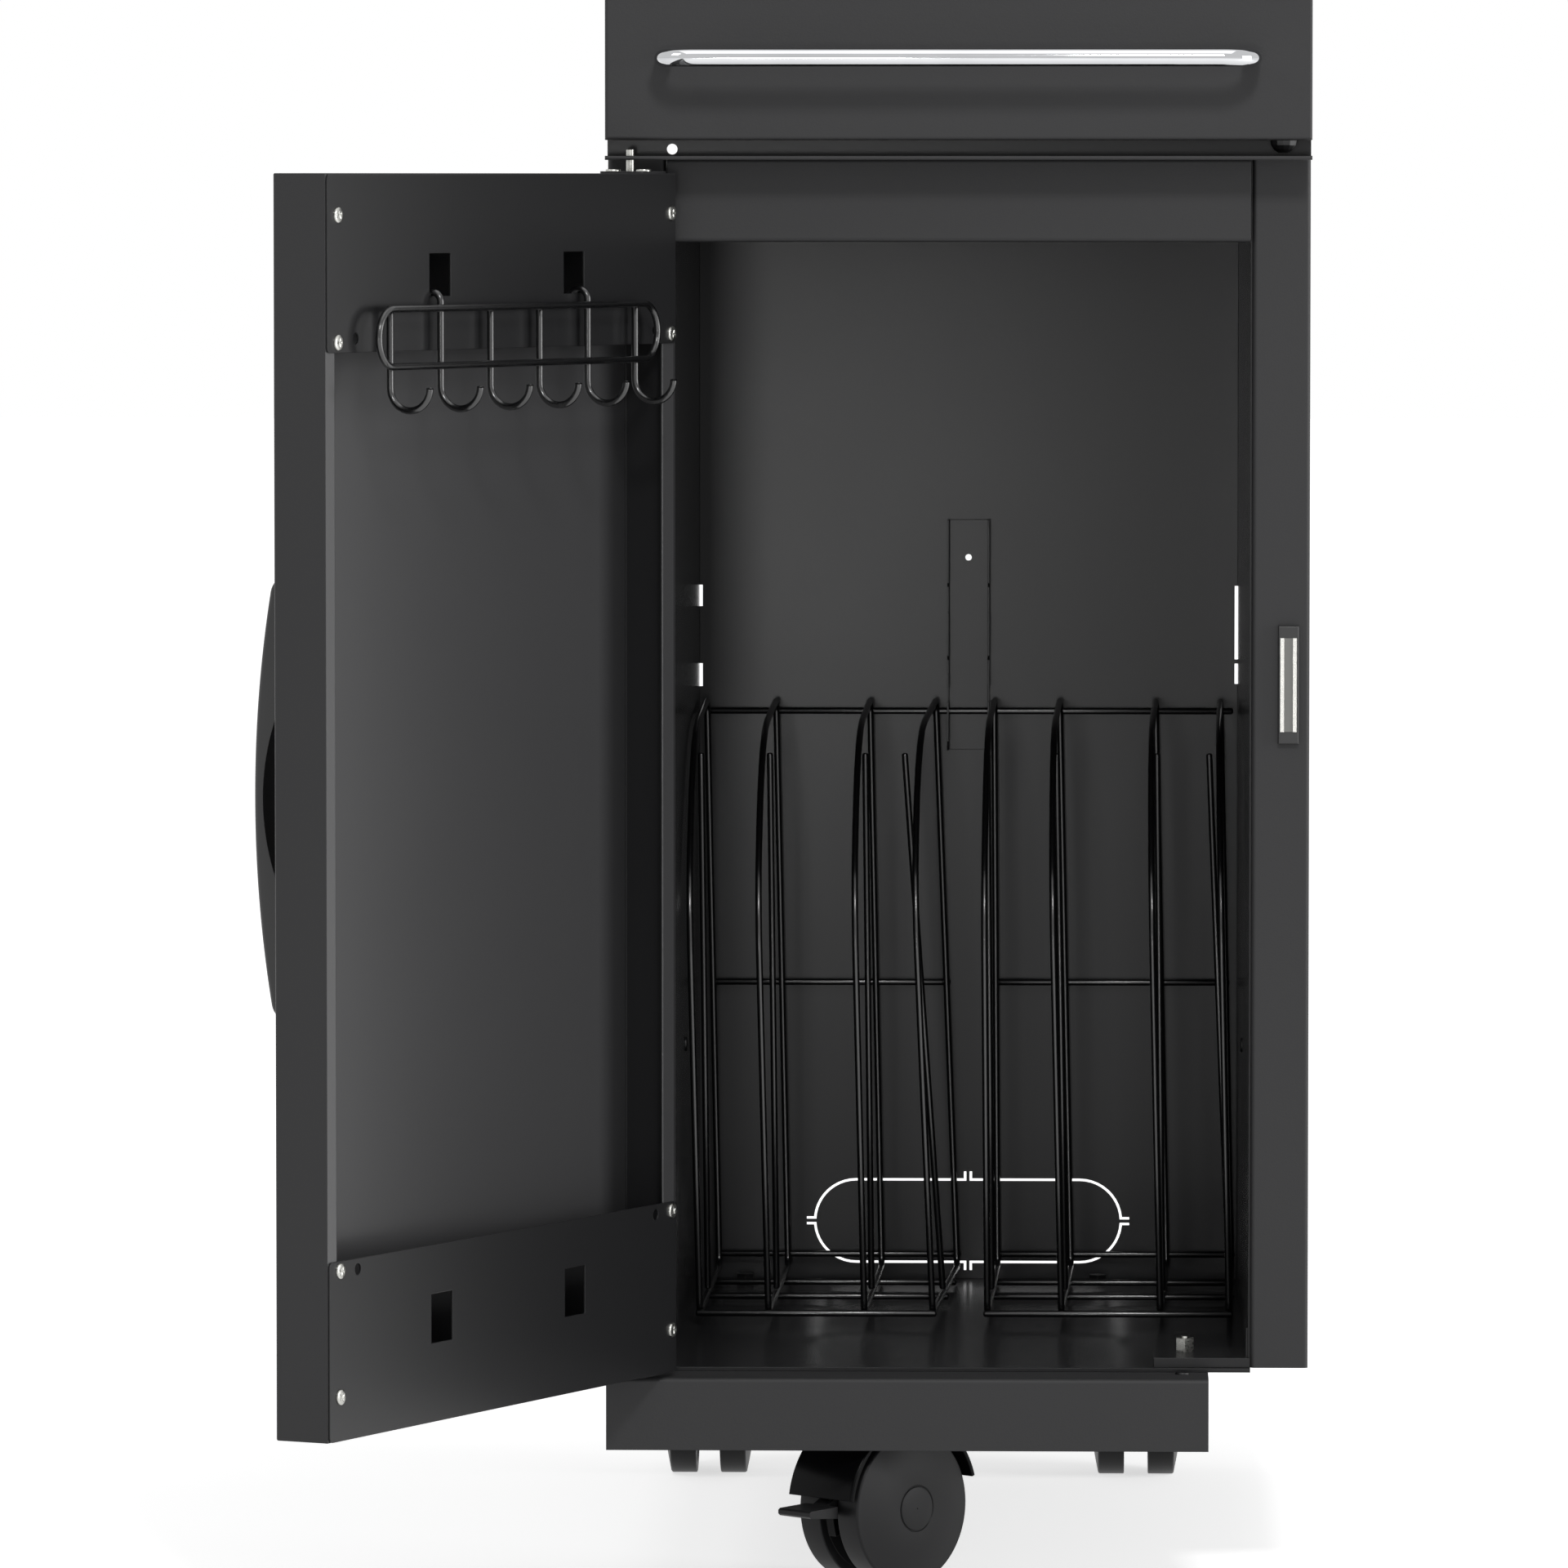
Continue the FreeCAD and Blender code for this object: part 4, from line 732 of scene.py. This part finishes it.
GRIP_U, GRIP_MIDDLE, GRIP_LENGTH = 355.0, 478.7, 245.6
GRIP_END_RISE, GRIP_MID_RISE, GRIP_ROUND = 17.0, 29.0, 9.0
GRIP_GAP_LENGTH, GRIP_GAP_DEPTH, GRIP_NEAR_EDGE = 141.6, 22.4, 0.3
GRIP_END_STEPS, GRIP_SPAN_STEPS, GRIP_FIRST_STEP = 9, 30, 4
DOOR_FACE = -11.0


def grip_rings(width, edge):
    """Rings of (along the leaf, inwards, up) for the handle, from one end to the other.

    With z from the handle's middle, the outer line is the arc of a circle
    through the height at both ends and at the middle: its radius is
    (half length squared + bow squared) / (2 x bow), and its rise is the middle
    rise less that radius plus the root of (radius squared - z squared). The
    ends are rounded by a quarter circle. The finger gap is such an arc too.
    """
    half, bow = GRIP_LENGTH / 2, GRIP_MID_RISE - GRIP_END_RISE
    crest = (half ** 2 + bow ** 2) / (2 * bow)
    gap = GRIP_GAP_LENGTH / 2
    hollow = (gap ** 2 + GRIP_GAP_DEPTH ** 2) / (2 * GRIP_GAP_DEPTH)
    turn = np.linspace(0, math.pi / 2, GRIP_END_STEPS)
    ends = half - GRIP_ROUND * (1 - np.cos(turn))
    span = np.linspace(half - GRIP_ROUND - GRIP_FIRST_STEP, 0, GRIP_SPAN_STEPS)
    z = np.concatenate([ends, span])
    rise = GRIP_MID_RISE - crest + np.sqrt(crest ** 2 - z ** 2)
    rise[:GRIP_END_STEPS] += GRIP_ROUND * (np.sin(turn) - 1)
    arch = GRIP_GAP_DEPTH - hollow + np.sqrt(np.maximum(hollow ** 2 - z ** 2, 0))
    low = np.where(np.abs(z) < gap, arch, 0.0)
    z = np.concatenate([z, -z[-2::-1]])
    rise = np.concatenate([rise, rise[-2::-1]])
    low = np.concatenate([low, low[-2::-1]])
    rings = []
    for level, inner, outer in zip(z, low, rise):
        loop = rounded_block(width / 2, inner, outer, edge, GRIP_NEAR_EDGE)
        rings.append(np.stack([GRIP_U + loop[:, 0], DOOR_FACE - loop[:, 1],
                               np.full(len(loop), GRIP_MIDDLE + level)], 1))
    return rings


class CART_OT_door_handle(bpy.types.Operator):
    """Smooth bowed handle over a lens-shaped finger gap"""
    bl_idname = "cart.door_handle"
    bl_label = "Door Handle"

    def execute(self, context):
        s = context.scene.cart_bar
        rings = grip_rings(s.grip_width / MM, s.grip_edge / MM)
        mesh_object("moulded_handle", *swept(on_door(rings)), "door", ("door_handle",),
                    finishes()["plastic"], 50.0)
        return {"FINISHED"}


CASTERS = ("caster_front", "caster_left", "caster_right")
WHEEL_INNER, WHEEL_OUTER, WHEEL_CROWN, WHEEL_BORE = 0.0075, 0.024, 0.0285, 0.0041
WHEEL_BACK_EDGE, CAP_SINK, CAP_GAP, BORE_DEPTH = 0.0008, 0.0006, 0.0008, 0.012
AXIS_HOLE = 0.0004
# shares of the radius between which the wheel's inner face is set back, and how far
BACK_START, BACK_LOW, BACK_HIGH, BACK_END, BACK_STEP = 0.55, 0.57, 0.86, 0.88, 0.001


def wheel_profile(s, radius):
    """Closed profile of a caster wheel as (radius, along) pairs.

    The tread is flat with a rounded outer edge. The outer face is a shallow
    cone whose slope eases off as a sine, with a fine ring cut round the axle.
    """
    turn = np.linspace(0, math.pi / 2, 7)
    edge = s.bevel
    inner = WHEEL_BACK_EDGE
    first = np.stack([radius - inner + inner * np.sin(turn),
                      WHEEL_INNER + inner - inner * np.cos(turn)], 1)
    second = np.stack([radius - edge + edge * np.cos(turn),
                       WHEEL_OUTER - edge + edge * np.sin(turn)], 1)
    share = np.linspace(0, 1, 16)[1:]
    cap = s.cap / 2
    level = WHEEL_CROWN - CAP_SINK
    cone = np.stack([(radius - edge) + (cap + CAP_GAP - radius + edge) * share,
                     WHEEL_OUTER + (level - WHEEL_OUTER) * np.sin(share * math.pi / 2)], 1)
    ring = np.array([(cap + 0.0003, level - s.groove), (cap - 0.0002, level - s.groove),
                     (cap - 0.0004, level + 0.0001), (cap - 0.0009, level + 0.0002),
                     (cap * 0.5, WHEEL_CROWN - 0.0001), (AXIS_HOLE, WHEEL_CROWN)])
    deep, shallow = WHEEL_INNER + BORE_DEPTH, WHEEL_INNER + BACK_STEP
    back = np.array([(AXIS_HOLE, deep), (WHEEL_BORE, deep), (WHEEL_BORE, WHEEL_INNER),
                     (radius * BACK_START, WHEEL_INNER), (radius * BACK_LOW, shallow),
                     (radius * BACK_HIGH, shallow), (radius * BACK_END, WHEEL_INNER)])
    return np.concatenate([first, second, cone, ring, back, first[:1]])


class CART_OT_wheels(bpy.types.Operator):
    """Turned twin wheels for the three casters"""
    bl_idname = "cart.wheels"
    bl_label = "Wheels"

    def execute(self, context):
        s = context.scene.cart_caster
        for name in CASTERS:
            for key, side in (("a", 1.0), ("b", -1.0)):
                node = name + "_wheel_" + key
                spin = joint(node + "_spin")
                centre = np.array(spin["pos_m"], float)
                axis = np.array(spin["axis"], float) * side
                profile = wheel_profile(s, centre[2])
                points, faces = lathe(profile, centre, axis, s.segments)
                mesh_object("turned_" + node, points, faces, node, (node,),
                            finishes()["caster"], 40.0)
        return {"FINISHED"}


HOOD_RADIUS, HOOD_THICKNESS, HOOD_HALF = 53.0, 3.0, 26.0
HOOD_MIDDLE, HOOD_NEAR_EDGE = HOOD_RADIUS - HOOD_THICKNESS / 2, 0.4
HOOD_START, HOOD_END = 9.0, 163.0
WEB_RADIUS, WEB_HALF, WEB_START, WEB_END = 44.0, 3.0, -20.0, 200.0
SWIVEL_TOP, STEM_TOP = 112.7, 120.0
# radius and half length of the hub and the axle, then the swivel's posts and the brake's pin
HUB_BOSS, AXLE = (10.0, 7.0), (4.0, 23.5)
BOSS_RADIUS, DISC_RADIUS, DISC_HEIGHT, STEM_RADIUS = 13.0, 17.0, 3.0, 5.0
BRAKE_PIN, BRAKE_PIN_RADIUS, BRAKE_PIN_HALF = (34.0, 6.7), 2.5, 6.0
ROUND_STEPS, HOOD_STEPS, WEB_STEPS, POST_EDGE = 40, 64, (12, 60, 14), 0.3


def arc(radius, start, end, steps):
    """Points (along, up) on an arc between two angles in degrees."""
    angle = np.radians(np.linspace(start, end, steps))
    return np.stack([radius * np.cos(angle), radius * np.sin(angle)], 1)


def upright_post(radius, low, high):
    """Rings of (along, across, up) for a post about the swivel's axis, with eased edges."""
    turn = np.linspace(0, 2 * math.pi, ROUND_STEPS, endpoint=False)
    rings = []
    for share, level in ((0.97, low), (1.0, low + POST_EDGE), (1.0, high - POST_EDGE),
                         (0.97, high)):
        rings.append(np.stack([radius * share * np.cos(turn), radius * share * np.sin(turn),
                               np.full(ROUND_STEPS, level)], 1))
    return np.array(rings)


def level_post(radius, half, centre=(0.0, 0.0)):
    """Rings of (along, across, up) for a post that lies across the caster, about a centre."""
    turn = np.linspace(0, 2 * math.pi, ROUND_STEPS, endpoint=False)
    return [np.stack([centre[0] + radius * np.cos(turn), np.full(ROUND_STEPS, side),
                      centre[1] + radius * np.sin(turn)], 1) for side in (-half, half)]


def hood_rings(edge):
    """Rings of the hood: its rounded cross-section, turned about the axle from end to end."""
    loop = rounded_block(HOOD_HALF, HOOD_RADIUS - HOOD_THICKNESS, HOOD_RADIUS, edge,
                         HOOD_NEAR_EDGE)
    return [np.stack([loop[:, 1] * math.cos(t), loop[:, 0], loop[:, 1] * math.sin(t)], 1)
            for t in np.radians(np.linspace(HOOD_START, HOOD_END, HOOD_STEPS))]


def web_plates():
    """Both faces of the web between the wheels: arcs about the axle, closed over the hub."""
    arcs = ((WEB_RADIUS, WEB_START, HOOD_START), (HOOD_MIDDLE, HOOD_START, HOOD_END),
            (WEB_RADIUS, HOOD_END, WEB_END))
    outline = np.concatenate([[(0, 0)]] + [arc(*a, steps) for a, steps in zip(arcs, WEB_STEPS)])
    return [np.stack([outline[:, 0], np.full(len(outline), side), outline[:, 1]], 1)
            for side in (-WEB_HALF, WEB_HALF)]


def swivel_posts(trail, level):
    """The boss, whose foot follows the hood, and the disc and stem above it.

    A point of the foot is as high above the axle as the root of (the hood's
    middle radius squared - its distance along the hood squared).
    """
    boss = upright_post(BOSS_RADIUS, 0.0, SWIVEL_TOP - DISC_HEIGHT - level)
    boss[..., 0] -= trail
    boss[0, :, 2] = np.sqrt(HOOD_MIDDLE ** 2 - boss[0, :, 0] ** 2)
    boss[1, :, 2] = boss[0, :, 2] + POST_EDGE
    posts = [boss]
    for radius, low, high in ((DISC_RADIUS, SWIVEL_TOP - DISC_HEIGHT, SWIVEL_TOP),
                              (STEM_RADIUS, SWIVEL_TOP, STEM_TOP)):
        posts.append(upright_post(radius, low - level, high - level))
        posts[-1][..., 0] -= trail
    return posts


class CART_OT_hoods(bpy.types.Operator):
    """Moulded hoods with their web, axle, boss and stem"""
    bl_idname = "cart.hoods"
    bl_label = "Hoods"

    def execute(self, context):
        s = context.scene.cart_caster
        for name in CASTERS:
            swivel = np.array(joint(name + "_swivel")["pos_m"], float)
            spin = joint(name + "_wheel_a_spin")
            hub = np.array(spin["pos_m"], float)
            across = np.array(spin["axis"], float)
            along = hub - swivel
            trail = float(np.linalg.norm(along)) / MM
            along = along / np.linalg.norm(along)

            def placed(points):
                p = np.asarray(points, float) * MM
                return hub + p[..., :1] * along + p[..., 1:2] * across + p[..., 2:3] * UP

            forms = [hood_rings(s.hood_edge / MM), web_plates(), level_post(*HUB_BOSS),
                     level_post(*AXLE)]
            forms += swivel_posts(trail, hub[2] / MM - CABINET_Z / MM)
            if name == "caster_front":
                forms.append(level_post(BRAKE_PIN_RADIUS, BRAKE_PIN_HALF, BRAKE_PIN))
            made = [swept(placed(form)) for form in forms]
            mesh_object("moulded_" + name, *joined(made), name, (name + "_housing",),
                        finishes()["hood"], 40.0)
        return {"FINISHED"}


SCREW_RADIUS, SCREW_HEIGHT, SCREW_SIDES = 4.35, 1.4, 32
SLOT_HALF, SLOT_DEPTH, SCREW_TURN = 0.13, 0.35, 0.6
DOOR_SCREW_LEVELS, DOOR_SCREW_PLACES = (799.0, 729.6, 221.7, 152.3), (-7.0, 379.4)
DOOR_PLATE_FACE = 23.0
HINGE_SCREWS = ((12.5, -4.5, 823.1), (12.5, 15.5, 823.1))
WALL_SCREWS = ((-168.8, 300.0, 295.0), (168.8, 300.0, 295.0), (130.6, 27.6, 125.2))
WALL_SCREW_AXES = ((1, 0, 0), (-1, 0, 0), (0, 0, 1))


def pan_heads(spots, axes):
    """Pan-head screws: a dome over a rim, with a cross recess sunk into it.

    On a grid of radius and angle the height is a rounded pan, less a recess
    whose depth falls off away from two crossed slots.
    """
    radius, height, sides = SCREW_RADIUS * MM, SCREW_HEIGHT * MM, SCREW_SIDES
    share = np.concatenate([np.linspace(0.02, 0.75, 9), np.linspace(0.8, 1.0, 6)])
    angle = np.linspace(0, 2 * math.pi, sides, endpoint=False)
    rr, aa = np.meshgrid(share, angle, indexing="ij")
    dome = height * (0.55 + 0.45 * np.sqrt(np.clip(1 - rr ** 4, 0, 1)))
    x, y = rr * np.cos(aa), rr * np.sin(aa)
    slot = np.minimum(np.abs(x), np.abs(y))
    recess = np.clip(1 - slot / SLOT_HALF, 0, 1) * np.clip(1.35 - rr * 2.2, 0, 1)
    lift = dome - height * SLOT_DEPTH * np.clip(recess * 2, 0, 1)
    made = []
    for spot, axis in zip(spots, axes):
        axis, side, other = square_to(axis)
        turn = SCREW_TURN * (len(made) % 3)
        c, n = math.cos(turn), math.sin(turn)
        px, py = (x * c - y * n) * radius, (x * n + y * c) * radius
        top = spot + px[..., None] * side + py[..., None] * other + lift[..., None] * axis
        foot = spot + px[-1][:, None] * side + py[-1][:, None] * other
        made.append((np.concatenate([top.reshape(-1, 3), foot]),
                     capped_faces(len(share) + 1, sides)))
    return joined(made)


class CART_OT_screws(bpy.types.Operator):
    """Cross-recessed screws on the door, hinge and walls"""
    bl_idname = "cart.screws"
    bl_label = "Screws"

    def execute(self, context):
        spots = [(u, DOOR_PLATE_FACE, z) for z in DOOR_SCREW_LEVELS for u in DOOR_SCREW_PLACES]
        axes = [door_axes()[2]] * len(spots) + [UP] * len(HINGE_SCREWS)
        heads = pan_heads(on_door(spots + list(HINGE_SCREWS)), axes)
        mesh_object("cross_screws_door", *heads, "door", ("door_screws",),
                    finishes()["zinc"], 60.0)
        mesh_object("cross_screws_walls", *pan_heads(in_cabinet(WALL_SCREWS), WALL_SCREW_AXES),
                    "cart", ("wall_screws",), finishes()["black_screw"], 60.0)
        return {"FINISHED"}


def seen_rays(tree):
    """A value of 1 for camera, glossy and transmission rays, and 0 for diffuse ones."""
    path = tree.nodes.new("ShaderNodeLightPath")
    first = tree.nodes.new("ShaderNodeMath")
    first.operation = "MAXIMUM"
    tree.links.new(path.outputs["Is Camera Ray"], first.inputs[0])
    tree.links.new(path.outputs["Is Glossy Ray"], first.inputs[1])
    second = tree.nodes.new("ShaderNodeMath")
    second.operation = "MAXIMUM"
    tree.links.new(first.outputs[0], second.inputs[0])
    tree.links.new(path.outputs["Is Transmission Ray"], second.inputs[1])
    return second.outputs[0]


def floor_material(near, far):
    """White floor that keeps the cart's shadow, lifted to white where it's only seen.

    The lift grows with the distance from the cart's foot, from near to far.
    """
    material, tree, shader = nodes_of("studio_floor")
    shader.inputs["Base Color"].default_value = FLOOR_WHITE
    shader.inputs["Roughness"].default_value = FLOOR_ROUGHNESS
    shader.inputs["Specular IOR Level"].default_value = 0.0
    shader.inputs["Emission Color"].default_value = (1, 1, 1, 1)
    place = tree.nodes.new("ShaderNodeTexCoord")
    away = tree.nodes.new("ShaderNodeVectorMath")
    away.operation = "LENGTH"
    tree.links.new(place.outputs["Object"], away.inputs[0])
    lift = tree.nodes.new("ShaderNodeMapRange")
    for key, value in (("From Min", near[0]), ("To Min", near[1]), ("From Max", far[0]),
                       ("To Max", far[1])):
        lift.inputs[key].default_value = value
    tree.links.new(away.outputs["Value"], lift.inputs["Value"])
    tree.links.new(both(tree, seen_rays(tree), lift.outputs[0]),
                   shader.inputs["Emission Strength"])
    return material


# name, place, width, height, watts
LAMPS = (("side_right", (3.0, -0.7, 0.9), 1.6, 1.6, 45),
         ("left_high", (-1.6, -0.9, 2.3), 0.8, 0.8, 8),
         ("front_high", (0.5, -3.4, 2.8), 0.5, 0.5, 51),
         ("front_low_spot", (-0.26, -5.0, 0.455), 0.35, 0.35, 11),
         ("top_soft", (0.1, -0.6, 3.4), 2.4, 2.4, 18))
LAMP_AIM = (0.05, 0.0, 0.5)
AMBIENT = 0.22
FLOOR_REACH, FLOOR_WHITE, FLOOR_ROUGHNESS = 30.0, (0.92, 0.92, 0.92, 1), 0.9
SENSOR_WIDTH, CLIP_END = 36, 100
# (distance from the cart's foot, strength), near and far
FLOOR_LIFT = ((0.5, 0.66), (3.0, 0.98))


class CART_OT_stage(bpy.types.Operator):
    """Floor, soft lights, world and camera"""
    bl_idname = "cart.stage"
    bl_label = "Stage"

    def execute(self, context):
        s = context.scene.cart_stage
        corners = [(x * FLOOR_REACH, y * FLOOR_REACH, 0)
                   for x, y in ((-1, -1), (1, -1), (1, 1), (-1, 1))]
        mesh = bpy.data.meshes.new("studio_floor")
        mesh.from_pydata(corners, [], [(0, 1, 2, 3)])
        floor = bpy.data.objects.new("studio_floor", mesh)
        context.scene.collection.objects.link(floor)
        mesh.materials.append(floor_material(*FLOOR_LIFT))
        for name, place, width, height, watts in LAMPS:
            data = bpy.data.lights.new(name, "AREA")
            data.shape = "RECTANGLE"
            data.size = width
            data.size_y = height
            data.energy = watts
            lamp = bpy.data.objects.new(name, data)
            context.scene.collection.objects.link(lamp)
            lamp.location = place
            aim = Vector(LAMP_AIM) - Vector(place)
            lamp.rotation_euler = aim.to_track_quat("-Z", "Y").to_euler()
        world = bpy.data.worlds.new("studio")
        context.scene.world = world
        world.use_nodes = True
        tree = world.node_tree
        back = tree.nodes["Background"]
        back.inputs["Color"].default_value = (1, 1, 1, 1)
        level = tree.nodes.new("ShaderNodeMapRange")
        level.inputs["To Min"].default_value = AMBIENT
        level.inputs["To Max"].default_value = 1.0
        tree.links.new(seen_rays(tree), level.inputs["Value"])
        tree.links.new(level.outputs["Result"], back.inputs["Strength"])
        camera_data = bpy.data.cameras.new("camera")
        camera_data.lens = s.lens
        camera_data.sensor_width = SENSOR_WIDTH
        camera_data.clip_end = CLIP_END
        camera = bpy.data.objects.new("camera", camera_data)
        context.scene.collection.objects.link(camera)
        camera.location = (CABINET_X + s.camera_x, CABINET_Y + s.camera_y,
                           CABINET_Z + s.camera_z)
        camera.rotation_euler = (math.pi / 2 + s.pitch, 0, s.yaw)
        context.scene.camera = camera
        context.scene.view_settings.view_transform = "Standard"
        return {"FINISHED"}


class CART_PT_panel(bpy.types.Panel):
    """The cart's pieces and settings"""
    bl_label = "Grill Cart"
    bl_idname = "CART_PT_panel"
    bl_space_type = "VIEW_3D"
    bl_region_type = "UI"
    bl_category = "Grill Cart"

    def draw(self, context):
        layout = self.layout
        for label, name in GROUPS.items():
            settings = getattr(context.scene, name)
            box = layout.box()
            box.label(text=label)
            for key in settings.__annotations__:
                box.prop(settings, key)
        for operator in OPERATORS:
            layout.operator(operator.bl_idname)


OPERATORS = (CART_OT_coat_frame, CART_OT_wire_rack, CART_OT_hook_rack, CART_OT_towel_bar,
             CART_OT_door_handle, CART_OT_wheels, CART_OT_hoods, CART_OT_screws, CART_OT_stage)
SETTINGS = (CoatingSettings, WireSettings, BarSettings, CasterSettings, StageSettings)
GROUPS = {"Coatings": "cart_coating", "Wire": "cart_wire", "Bars": "cart_bar",
          "Casters": "cart_caster", "Stage": "cart_stage"}
CLASSES = SETTINGS + OPERATORS + (CART_PT_panel,)


def register():
    for item in CLASSES:
        bpy.utils.register_class(item)
    for name, settings in zip(GROUPS.values(), SETTINGS):
        setattr(bpy.types.Scene, name, bpy.props.PointerProperty(type=settings))


def unregister():
    for name in GROUPS.values():
        delattr(bpy.types.Scene, name)
    for item in reversed(CLASSES):
        bpy.utils.unregister_class(item)


def main():
    """Dress the cart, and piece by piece."""
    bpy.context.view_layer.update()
    register()
    bpy.ops.cart.coat_frame()
    bpy.ops.cart.wire_rack()
    bpy.ops.cart.hook_rack()
    bpy.ops.cart.towel_bar()
    bpy.ops.cart.door_handle()
    bpy.ops.cart.wheels()
    bpy.ops.cart.hoods()
    bpy.ops.cart.screws()
    bpy.ops.cart.stage()


if __name__ == "__main__":
    main()
